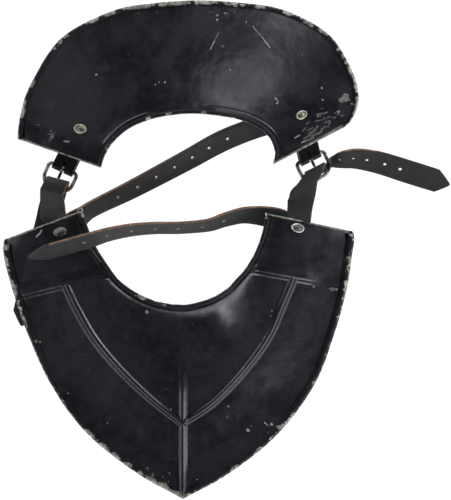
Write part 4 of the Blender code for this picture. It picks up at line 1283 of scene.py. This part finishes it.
def marks(tree, flat, nicks, scratches):
    """How deep each point lies in a nick or scratch, in metres past its edge, above zero being inside."""
    deepest = None
    found = []
    for x, y, reach in nicks:
        away = add(tree, "ShaderNodeVectorMath", {0: flat, 1: (*on_photo(x, y), 0)}, operation="DISTANCE")
        found.append((away.outputs["Value"], SPOT_REACH * reach * PIXEL))
    for x0, y0, x1, y1, half in scratches:
        start = Vector((*on_photo(x0, y0), 0))
        end = Vector((*on_photo(x1, y1), 0))
        way = end - start
        place = {"Vector": flat, "Location": (start + end) / 2, "Rotation": (0, 0, math.atan2(way.y, way.x))}
        along = add(tree, "ShaderNodeMapping", place, vector_type="TEXTURE")
        size = add(tree, "ShaderNodeVectorMath", {0: along.outputs[0]}, operation="ABSOLUTE")
        reach = {0: size.outputs[0], 1: (way.length / 2, 0, 0)}
        past = add(tree, "ShaderNodeVectorMath", reach, operation="SUBTRACT")
        past = add(tree, "ShaderNodeVectorMath", {0: past.outputs[0], 1: (0, 0, 0)}, operation="MAXIMUM")
        away = add(tree, "ShaderNodeVectorMath", {0: past.outputs[0]}, operation="LENGTH")
        found.append((away.outputs["Value"], SPOT_REACH * half * PIXEL))
    for away, reach in found:
        depth = add(tree, "ShaderNodeMath", {0: reach, 1: away}, operation="SUBTRACT").outputs[0]
        if deepest is not None:
            depth = add(tree, "ShaderNodeMath", {0: deepest, 1: depth}, operation="MAXIMUM").outputs[0]
        deepest = depth
    return deepest


def patches(tree, spot, size, detail, rough, low, high):
    """Share in soft patches a number of metres across: 0 where a noise is low, and 1 where it is high."""
    inputs = {"Vector": spot, "Scale": 1 / size, "Detail": detail, "Roughness": rough}
    lumps = add(tree, "ShaderNodeTexNoise", inputs).outputs["Fac"]
    inputs = {0: lumps, 1: low, 2: high}
    return add(tree, "ShaderNodeMapRange", inputs, interpolation_type="SMOOTHSTEP").outputs[0]


def layered(tree, colour, *layers):
    """A colour with others laid over it in turn, each given with the share that it covers.

    Colours are hex strings or sockets.
    """
    for share, over in layers:
        ends = [linear(c) if isinstance(c, str) else c for c in (colour, over)]
        inputs = {"Factor": share, 6: ends[0], 7: ends[1]}
        colour = add(tree, "ShaderNodeMix", inputs, data_type="RGBA").outputs[2]
    return colour


def paint_mottled(tree, shader, dark, light, how):
    """Gives a finish two colours in soft patches, and gives back the points' places for its other patterns.

    How is the patches' size, detail, roughness, low and high.
    """
    spot = add(tree, "ShaderNodeTexCoord").outputs["Object"]
    colour = layered(tree, dark, (patches(tree, spot, *how), light))
    tree.links.new(colour, shader.inputs["Base Color"])
    return spot


def roughen(tree, shader, spot, size, rough, depth, strength):
    """Gives a finish a fine raised grain a number of metres across."""
    inputs = {"Vector": spot, "Scale": 1 / size, "Detail": 3, "Roughness": rough}
    grain = add(tree, "ShaderNodeTexNoise", inputs).outputs["Fac"]
    bump = add(tree, "ShaderNodeBump", {"Height": grain, "Distance": depth, "Strength": strength})
    tree.links.new(bump.outputs[0], shader.inputs["Normal"])


def nicked_share(tree, spot, nicks, scratches):
    """Share to which a nick or scratch breaks the enamel. Their outlines wander by half a millimetre."""
    lumps = add(tree, "ShaderNodeTexNoise", {"Vector": spot, "Scale": 700.0, "Detail": 1.0}).outputs["Color"]
    inputs = {0: lumps, 1: (0.5, 0.5, 0.5)}
    wander = add(tree, "ShaderNodeVectorMath", inputs, operation="SUBTRACT").outputs[0]
    inputs = {0: wander, 1: (0.0015, 0.0015, 0.0), 2: spot}
    near = add(tree, "ShaderNodeVectorMath", inputs, operation="MULTIPLY_ADD").outputs[0]
    flat = add(tree, "ShaderNodeVectorMath", {0: near, 1: (1.0, 1.0, 0.0)}, operation="MULTIPLY").outputs[0]
    inputs = {0: marks(tree, flat, nicks, scratches), 1: -0.0002, 2: 0.0002}
    return add(tree, "ShaderNodeMapRange", inputs, interpolation_type="SMOOTHSTEP").outputs[0]


def bare_share(tree, spot, worn, nicked, inside):
    """Share of bare steel: worn patches 1 to 4 mm across and the nicks, and none on the hidden inside."""
    inputs = {"Vector": spot, "Scale": 1 / 0.0042, "Detail": 4, "Roughness": 0.62}
    specks = add(tree, "ShaderNodeTexNoise", inputs).outputs["Fac"]
    lean = add(tree, "ShaderNodeMath", {0: specks, 1: 2.4, 2: -1.2}, operation="MULTIPLY_ADD").outputs[0]
    bare = add(tree, "ShaderNodeMath", {0: worn, 1: lean}, operation="ADD").outputs[0]
    inputs = {0: bare, 1: 0.54, 2: 0.62}
    bare = add(tree, "ShaderNodeMapRange", inputs, interpolation_type="SMOOTHSTEP").outputs[0]
    bare = add(tree, "ShaderNodeMath", {0: bare, 1: nicked}, operation="MAXIMUM").outputs[0]
    outside = add(tree, "ShaderNodeMath", {0: 1.0, 1: inside}, operation="SUBTRACT").outputs[0]
    return add(tree, "ShaderNodeMath", {0: bare, 1: outside}, operation="MULTIPLY").outputs[0]


def bare_colour(tree, spot, worn, nicked, rolled):
    """Colour of bare steel: pale grey-green to dull brown-grey, and brighter on the handled rolls."""
    tint = patches(tree, spot, 0.004, 3, 0.6, 0.35, 0.65)
    rubbed = layered(tree, "#69675d", (tint, "#a5a296"))
    # Nicks are pale, and browner where many lie together
    inputs = {0: worn, 1: 0.02, 2: 0.10}
    many = add(tree, "ShaderNodeMapRange", inputs, interpolation_type="SMOOTHSTEP").outputs[0]
    nick = layered(tree, "#8b877f", (many, "#4f4843"))
    return layered(tree, "#55564d", (tint, "#76776c"), (rolled, rubbed), (nicked, nick))


def enamelled_steel(name, nicks, scratches):
    """Mild steel sheet with stoved black gloss enamel, brushed on by hand and worn through at the rims.

    The enamel gives a deep black with soft grey glare, and the steel under it shows as pale dull specks.
    """
    made, tree, shader = blank(name, {"IOR": 1.5})
    spot = add(tree, "ShaderNodeTexCoord").outputs["Object"]
    worn, inside, rolled = (
        add(tree, "ShaderNodeAttribute", attribute_name=key).outputs["Fac"]
        for key in ("worn", "inside", "rolled")
    )
    nicked = nicked_share(tree, spot, nicks, scratches)
    bare = bare_share(tree, spot, worn, nicked, inside)
    # Smudges in the gloss are 15 to 40 mm across, and fine ones 3 to 8 mm
    haze = patches(tree, spot, 0.030, 3, 0.6, 0.38, 0.72)
    fine_haze = patches(tree, spot, 0.006, 3, 0.6, 0.40, 0.75)
    steel = bare_colour(tree, spot, worn, nicked, rolled)
    colour = layered(tree, "#0b0b0e", (haze, "#17181b"), (fine_haze, "#1b1c1f"), (bare, steel))
    tree.links.new(colour, shader.inputs["Base Color"])
    metal = add(tree, "ShaderNodeMath", {0: bare, 1: 0.4}, operation="MULTIPLY").outputs[0]
    tree.links.new(metal, shader.inputs["Metallic"])
    gloss = add(tree, "ShaderNodeMath", {0: haze, 1: 0.08, 2: 0.22}, operation="MULTIPLY_ADD").outputs[0]
    # Handling has dulled the rolled edges
    gloss = add(tree, "ShaderNodeMath", {0: rolled, 1: 0.26, 2: gloss}, operation="MULTIPLY_ADD").outputs[0]
    rough = add(tree, "ShaderNodeMix", {0: bare, 2: gloss, 3: 0.55}).outputs[0]
    tree.links.new(rough, shader.inputs["Roughness"])
    level = add(tree, "ShaderNodeMath", {0: rolled, 1: -0.30, 2: 0.50}, operation="MULTIPLY_ADD").outputs[0]
    tree.links.new(level, shader.inputs["Specular IOR Level"])
    # Brushed enamel lies in waves about 9 mm apart, and the worn patches are a tenth of a millimetre lower
    inputs = {"Vector": spot, "Scale": 1 / 0.009, "Detail": 1, "Roughness": 0.5}
    waves = add(tree, "ShaderNodeTexNoise", inputs).outputs["Fac"]
    inputs = {"Vector": spot, "Scale": 1 / 0.0022, "Detail": 2, "Roughness": 0.5}
    fine = add(tree, "ShaderNodeTexNoise", inputs).outputs["Fac"]
    height = add(tree, "ShaderNodeMath", {0: fine, 1: 0.05, 2: waves}, operation="MULTIPLY_ADD").outputs[0]
    height = add(tree, "ShaderNodeMath", {0: bare, 1: -0.45, 2: height}, operation="MULTIPLY_ADD").outputs[0]
    bump = add(tree, "ShaderNodeBump", {"Height": height, "Distance": 0.00022, "Strength": 1.0})
    tree.links.new(bump.outputs[0], shader.inputs["Normal"])
    return made


def cut_steel():
    """Sheared edge of the steel sheet, bare: pale, dull and mottled."""
    made, tree, shader = blank("sheared_mild_steel", {"Metallic": 0.6, "Roughness": 0.5})
    paint_mottled(tree, shader, "#6c6d66", "#c9ccc2", (0.0020, 3, 0.6, 0.35, 0.62))
    return made


def grain_leather(name, dark, light, roughness, level=0.3):
    """Bridle leather, drum dyed black and waxed on its grain side: dull black with a soft grey sheen."""
    made, tree, shader = blank(name, {"Roughness": roughness, "Specular IOR Level": level})
    spot = paint_mottled(tree, shader, dark, light, (0.012, 4, 0.6, 0.35, 0.7))
    # Real grain is 0.4 mm across, which is drawn three times as coarse so that it shows
    roughen(tree, shader, spot, 0.0012, 0.6, 0.00012, 0.6)
    return made


def cut_leather():
    """Knife-cut edge of the strap: undyed russet fibre, darkened by handling."""
    made, tree, shader = blank("bridle_leather_cut_edge", {"Roughness": 0.75})
    paint_mottled(tree, shader, "#4a3526", "#7a5a42", (0.005, 4, 0.65, 0.35, 0.65))
    return made


def flesh_leather(name, dark, light):
    """Flesh side of the strap, left rough from the splitting knife: a matt nap."""
    made, tree, shader = blank(name, {"Roughness": 0.85})
    spot = paint_mottled(tree, shader, dark, light, (0.006, 4, 0.65, 0.35, 0.7))
    roughen(tree, shader, spot, 0.0010, 0.7, 0.00015, 0.7)
    return made


def worn_wire():
    """Bent steel wire, heat blackened: dark grey with rubbed bright patches."""
    made, tree, shader = blank("blackened_steel_wire", {"Metallic": 0.9, "Roughness": 0.38})
    paint_mottled(tree, shader, "#282827", "#94968b", (0.007, 3, 0.6, 0.38, 0.60))
    return made


def rivet_metal(name, dark, light, metallic, roughness):
    """Turned rivet metal, tarnished unevenly over about 2 mm."""
    made, tree, shader = blank(name, {"Metallic": metallic, "Roughness": roughness})
    paint_mottled(tree, shader, dark, light, (0.0022, 3, 0.6, 0.35, 0.68))
    return made


# The gorget


def show(piece, node):
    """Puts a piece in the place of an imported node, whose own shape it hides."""
    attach(piece, "root")
    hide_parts(node)


# Rivet heads as radius, height above the plate and slot: 0 the dome, 1 the rim
BRASS_HEAD = (
    (0.0, 0.00215, 0), (0.0010, 0.00205, 0), (0.0020, 0.00175, 0), (0.0028, 0.00125, 0),
    (0.0032, 0.00075, 0), (0.0034, 0.00060, 1), (0.0037, 0.00095, 1), (0.0042, 0.00115, 1),
    (0.0047, 0.00090, 1), (0.0050, 0.00035, 1), (0.0050, 0.0, 1),
)
STEEL_HEAD = (
    (0.0, 0.00235, 0), (0.0011, 0.00222, 0), (0.0021, 0.00185, 0), (0.0030, 0.00130, 0),
    (0.0034, 0.00100, 0), (0.0036, 0.00090, 1), (0.0041, 0.00085, 1), (0.0047, 0.00055, 1),
    (0.0050, 0.00025, 1), (0.0050, 0.0, 1),
)


# Where each rivet goes: its plate's table, its place there and the plate's shape
SEATS = {
    "front_left": (FRONT_LEFT, FRONT_LEFT_RIVET, FRONT_SHAPE),
    "front_right": (FRONT_RIGHT, FRONT_RIGHT_RIVET, FRONT_SHAPE),
    "back_left": (BACK, BACK_LEFT_RIVET, BACK_SHAPE),
    "back_right": (BACK, BACK_RIGHT_RIVET, BACK_SHAPE),
}


def make_plates():
    """Both plates, each with its own wear."""
    steel_edge = cut_steel()
    enamel = enamelled_steel("black_enamelled_steel", FRONT_NICKS, FRONT_SCRATCHES)
    show(front_plate([enamel, steel_edge]), "front_plate")
    enamel = enamelled_steel("black_enamelled_steel_back", BACK_NICKS, BACK_SCRATCHES)
    show(back_plate([enamel, steel_edge]), "back_plate")


def make_rivets(seats):
    """The four rivets, each with its own head."""
    brass = [
        rivet_metal("tarnished_brass", "#55574a", "#85886f", 0.8, 0.38),
        rivet_metal("rubbed_brass", "#8b8d78", "#b9bca4", 0.8, 0.34),
    ]
    iron = [
        rivet_metal("browned_steel", "#45433d", "#6a675e", 0.6, 0.4),
        rivet_metal("browned_steel_rim", "#4a4842", "#8a877c", 0.6, 0.42),
    ]
    tinned = [iron[0], rivet_metal("tinned_brass_rim", "#8a8883", "#b9b7b1", 0.8, 0.34)]
    strap_stack = SHEET / 2 + ROOT_GAP + 2 * STRAP + LAYER_GAP
    tab_stack = SHEET / 2 + ROOT_GAP + 2 * TAB + LAYER_GAP
    for side, depth, head, heading, oval, metals in (
        ("front_left", strap_stack, STEEL_HEAD, 10, (1.24, 0.80), iron),
        ("front_right", strap_stack, BRASS_HEAD, -12, (1.26, 0.82), tinned),
        ("back_left", tab_stack, BRASS_HEAD, -15, (1.16, 0.86), brass),
        ("back_right", tab_stack, BRASS_HEAD, 28, (1.12, 0.74), brass),
    ):
        name = side + "_rivet"
        show(rivet(name + "_metal", seats[side], depth, head, heading, oval, metals), name)


def make_leather():
    """The straps' finishes by material slot: grain, brown edge, flesh, dyed flesh, and the punched holes'
    walls painted pale as glints.
    """
    return [
        grain_leather("bridle_leather_grain", "#1f201f", "#2a2a29", 0.60),
        cut_leather(),
        flesh_leather("bridle_leather_flesh", "#4b392c", "#6f5645"),
        flesh_leather("bridle_leather_dyed_flesh", "#1f1f1f", "#282827"),
        # The punched holes' walls are painted pale as a glint, standing in for light seen through the tilted
        # holes
        flesh_leather("bridle_leather_hole_painted_glint", "#8d8983", "#b5b1ab"),
    ]


def make_buckles(seats, axes, dyed):
    """Both buckles and their tabs. A tab's rows lie the other way up, so its grain has the flesh's slot."""
    wire = worn_wire()
    tab_grain = grain_leather("bridle_leather_oiled_grain", "#060606", "#0e0e0d", 0.30, 0.22)
    for side, heading in (("left", LEFT_TAB_HEADING), ("right", RIGHT_TAB_HEADING)):
        show(buckle_frame(side + "_buckle_wire", axes[side], wire), side + "_buckle_frame")
        show(buckle_prong(side + "_buckle_tongue", axes[side], wire), side + "_buckle_prong")
        skins = [dyed, dyed, tab_grain, dyed]
        tab = buckle_tab(side + "_tab_leather", seats["back_" + side], axes[side], heading, skins)
        show(tab, side + "_buckle_tab")


def closing_rows(root, heading, rise, fold, tail, axes, length):
    """Rows of a closing strap from its rivet through its buckle, and the number of them before the tail."""
    rows = root_rows(root, heading, 0, 1) + rise_rows(rise, root[0], fold[0][0]) + fold
    return rows + tail_rows(tail, axes.translation, length), len(rows)


def make_straps(seats, axes, leather):
    """The four straps."""
    left = seats["front_left"]
    right = seats["front_right"]
    fold = loop_rows(axes["left"], LEFT_FOLD, 0.0, LEFT_SLANT, -90)
    left_closing, left_dyed = closing_rows(
        left, LEFT_CLOSING_HEADING, LEFT_CLOSING_RISE, fold, LEFT_CLOSING_TAIL, axes["left"], LEFT_TAIL,
    )
    fold = loop_rows(axes["right"], RIGHT_FOLD, RIGHT_SLIDE, 0, -60, RIGHT_LEAD)
    right_closing, right_dyed = closing_rows(
        right, RIGHT_CLOSING_HEADING, RIGHT_CLOSING_RISE, fold, RIGHT_CLOSING_TAIL, axes["right"], RIGHT_TAIL,
    )
    left_long = root_rows(left, LEFT_LONG_HEADING, 1, -1) + long_rows(LEFT_LONG)
    right_long = root_rows(right, RIGHT_LONG_HEADING, 1, 1) + long_rows(RIGHT_LONG)
    # The closing straps' holes are dyed too, and the left long strap has its rows the other way up
    closing = leather[:4] + leather[3:4]
    turned = [leather[2], leather[1], leather[0], leather[3], leather[4]]
    for name, rows, holes, arrow, brown, skins, dyed in (
        ("left_closing", left_closing, (), ARROW, 0.7, closing, left_dyed),
        ("right_closing", right_closing, RIGHT_CLOSING_HOLES, ARROW, 0.9, closing, right_dyed),
        ("left_long", left_long, LEFT_LONG_HOLES, ARROW, 0.9, turned, None),
        ("right_long", right_long, RIGHT_LONG_HOLES, LONG_ARROW, 0.97, leather, None),
    ):
        side = name.split("_")[0]
        place = seats["front_" + side]
        buckle = axes[side] if dyed else None
        made = strap(name + "_leather", rows, holes, place, arrow, brown, skins, buckle, dyed)
        show(made, name + "_strap")


def make_gorget():
    """The whole object: plates, rivets, buckles and straps."""
    make_plates()
    seats = {name: seat(*where) for name, where in SEATS.items()}
    make_rivets(seats)
    leather = make_leather()
    axes = {
        "left": buckle_axes(seats["back_left"], LEFT_TAB_HEADING, LEFT_BAR_HEADING, LEFT_BUCKLE_ROLL),
        "right": buckle_axes(seats["back_right"], RIGHT_TAB_HEADING, RIGHT_BAR_HEADING, RIGHT_BUCKLE_ROLL),
    }
    make_buckles(seats, axes, leather[3])
    make_straps(seats, axes, leather)


# Table, light and camera

# How far the table lies below the gorget
TABLE_DROP = 0.0002
# Brightness of the whole sky, to which the ring and the soft boxes are added
SKY_OVERHEAD = 0.037
# Which way the ring is brighter and by how much, and its share of its brightness halfway between
SKY_LEAN = (0.36, 0.12, 0.0)
SKY_EVEN = 0.85
# Bright ring round the sides, which fades out upwards and downwards. By the map range's inputs: the two
# cosines of the zenith angle between which it fades, and its brightness at each
RING_TOP = {1: 0.37, 2: 0.49, 3: 4.6, 4: 0.0}
RING_FOOT = {1: 0.08, 2: 0.24, 3: 0.25, 4: 1.0}
# Lens in millimetres on a sensor 36 mm wide, and the camera's place
LENS = 494.9
SENSOR = 36.0
CAMERA_PLACE = (-0.00141, 0.0001, 6.0)
# Soft boxes: azimuth and zenith angle in degrees, the cosine at which each fades out, and its brightness
SOFT_BOXES = (
    (72, 31, 0.986, 4.4), (72, 41, 0.988, 1.3), (47, 38, 0.975, 0.40), (142, 42, 0.94, 0.5),
    (-140, 40, 0.93, 0.30), (-51, 60, 0.983, 9.0), (-34, 51, 0.978, 0.8), (-64, 20, 0.94, 0.30),
    (-10, 31, 0.96, 0.20), (-165, 31, 0.96, 0.10), (31, 69, 0.985, 7.0), (153, 69, 0.985, 6.0),
    (-138, 67, 0.986, 6.0),
)


def make_table():
    """Matt white paper sheet, lit from behind, as under a studio cut-out."""
    mesh = bmesh.new()
    bmesh.ops.create_grid(mesh, x_segments=1, y_segments=1, size=6.0)
    data = bpy.data.meshes.new("white_table")
    mesh.to_mesh(data)
    mesh.free()
    table = put("white_table", data)
    table.location = (0.0, 0.0, -TABLE_DROP)
    data.materials.append(blank("white_paper", {
        "Base Color": linear("#707070"),
        "Roughness": 0.9,
        "Emission Color": (1.0, 1.0, 1.0, 1.0),
        "Emission Strength": 1.0,
    })[0])


def make_sky():
    """Studio surround: dim overhead, bright round the sides, with soft boxes here and there."""
    sky = bpy.data.worlds.new("studio")
    bpy.context.scene.world = sky
    sky.use_nodes = True
    tree = sky.node_tree
    way = add(tree, "ShaderNodeTexCoord").outputs["Generated"]
    height = add(tree, "ShaderNodeSeparateXYZ", {0: way}).outputs["Z"]
    top, foot = (
        add(tree, "ShaderNodeMapRange", {0: height, **fade}, interpolation_type="SMOOTHSTEP").outputs[0]
        for fade in (RING_TOP, RING_FOOT)
    )
    sides = add(tree, "ShaderNodeMath", {0: top, 1: foot}, operation="MULTIPLY").outputs[0]
    lean = add(tree, "ShaderNodeVectorMath", {0: way, 1: SKY_LEAN}, operation="DOT_PRODUCT").outputs["Value"]
    lean = add(tree, "ShaderNodeMath", {0: lean, 1: SKY_EVEN}, operation="ADD").outputs[0]
    inputs = {0: sides, 1: lean, 2: SKY_OVERHEAD}
    total = add(tree, "ShaderNodeMath", inputs, operation="MULTIPLY_ADD").outputs[0]
    for azimuth, zenith, fade, strength in SOFT_BOXES:
        a = math.radians(azimuth)
        z = math.radians(zenith)
        aim = (math.sin(z) * math.cos(a), math.sin(z) * math.sin(a), math.cos(z))
        near = add(tree, "ShaderNodeVectorMath", {0: way, 1: aim}, operation="DOT_PRODUCT").outputs["Value"]
        inputs = {0: near, 1: fade, 2: 1.0, 3: 0.0, 4: strength}
        box = add(tree, "ShaderNodeMapRange", inputs, interpolation_type="SMOOTHSTEP").outputs[0]
        total = add(tree, "ShaderNodeMath", {0: total, 1: box}, operation="ADD").outputs[0]
    tree.links.new(total, tree.nodes["Background"].inputs["Strength"])
    tree.nodes["Background"].inputs["Color"].default_value = linear("#f4f5ff")


def make_camera():
    """Long lens straight above, so that one pixel covers 0.87 mm at the plates' middle height."""
    data = bpy.data.cameras.new("camera")
    data.sensor_width = SENSOR
    data.lens = LENS
    data.clip_end = 50.0
    camera = put("camera", data)
    camera.location = CAMERA_PLACE
    bpy.context.scene.camera = camera


make_gorget()
make_table()
make_sky()
make_camera()
bpy.context.scene.view_settings.view_transform = "Standard"
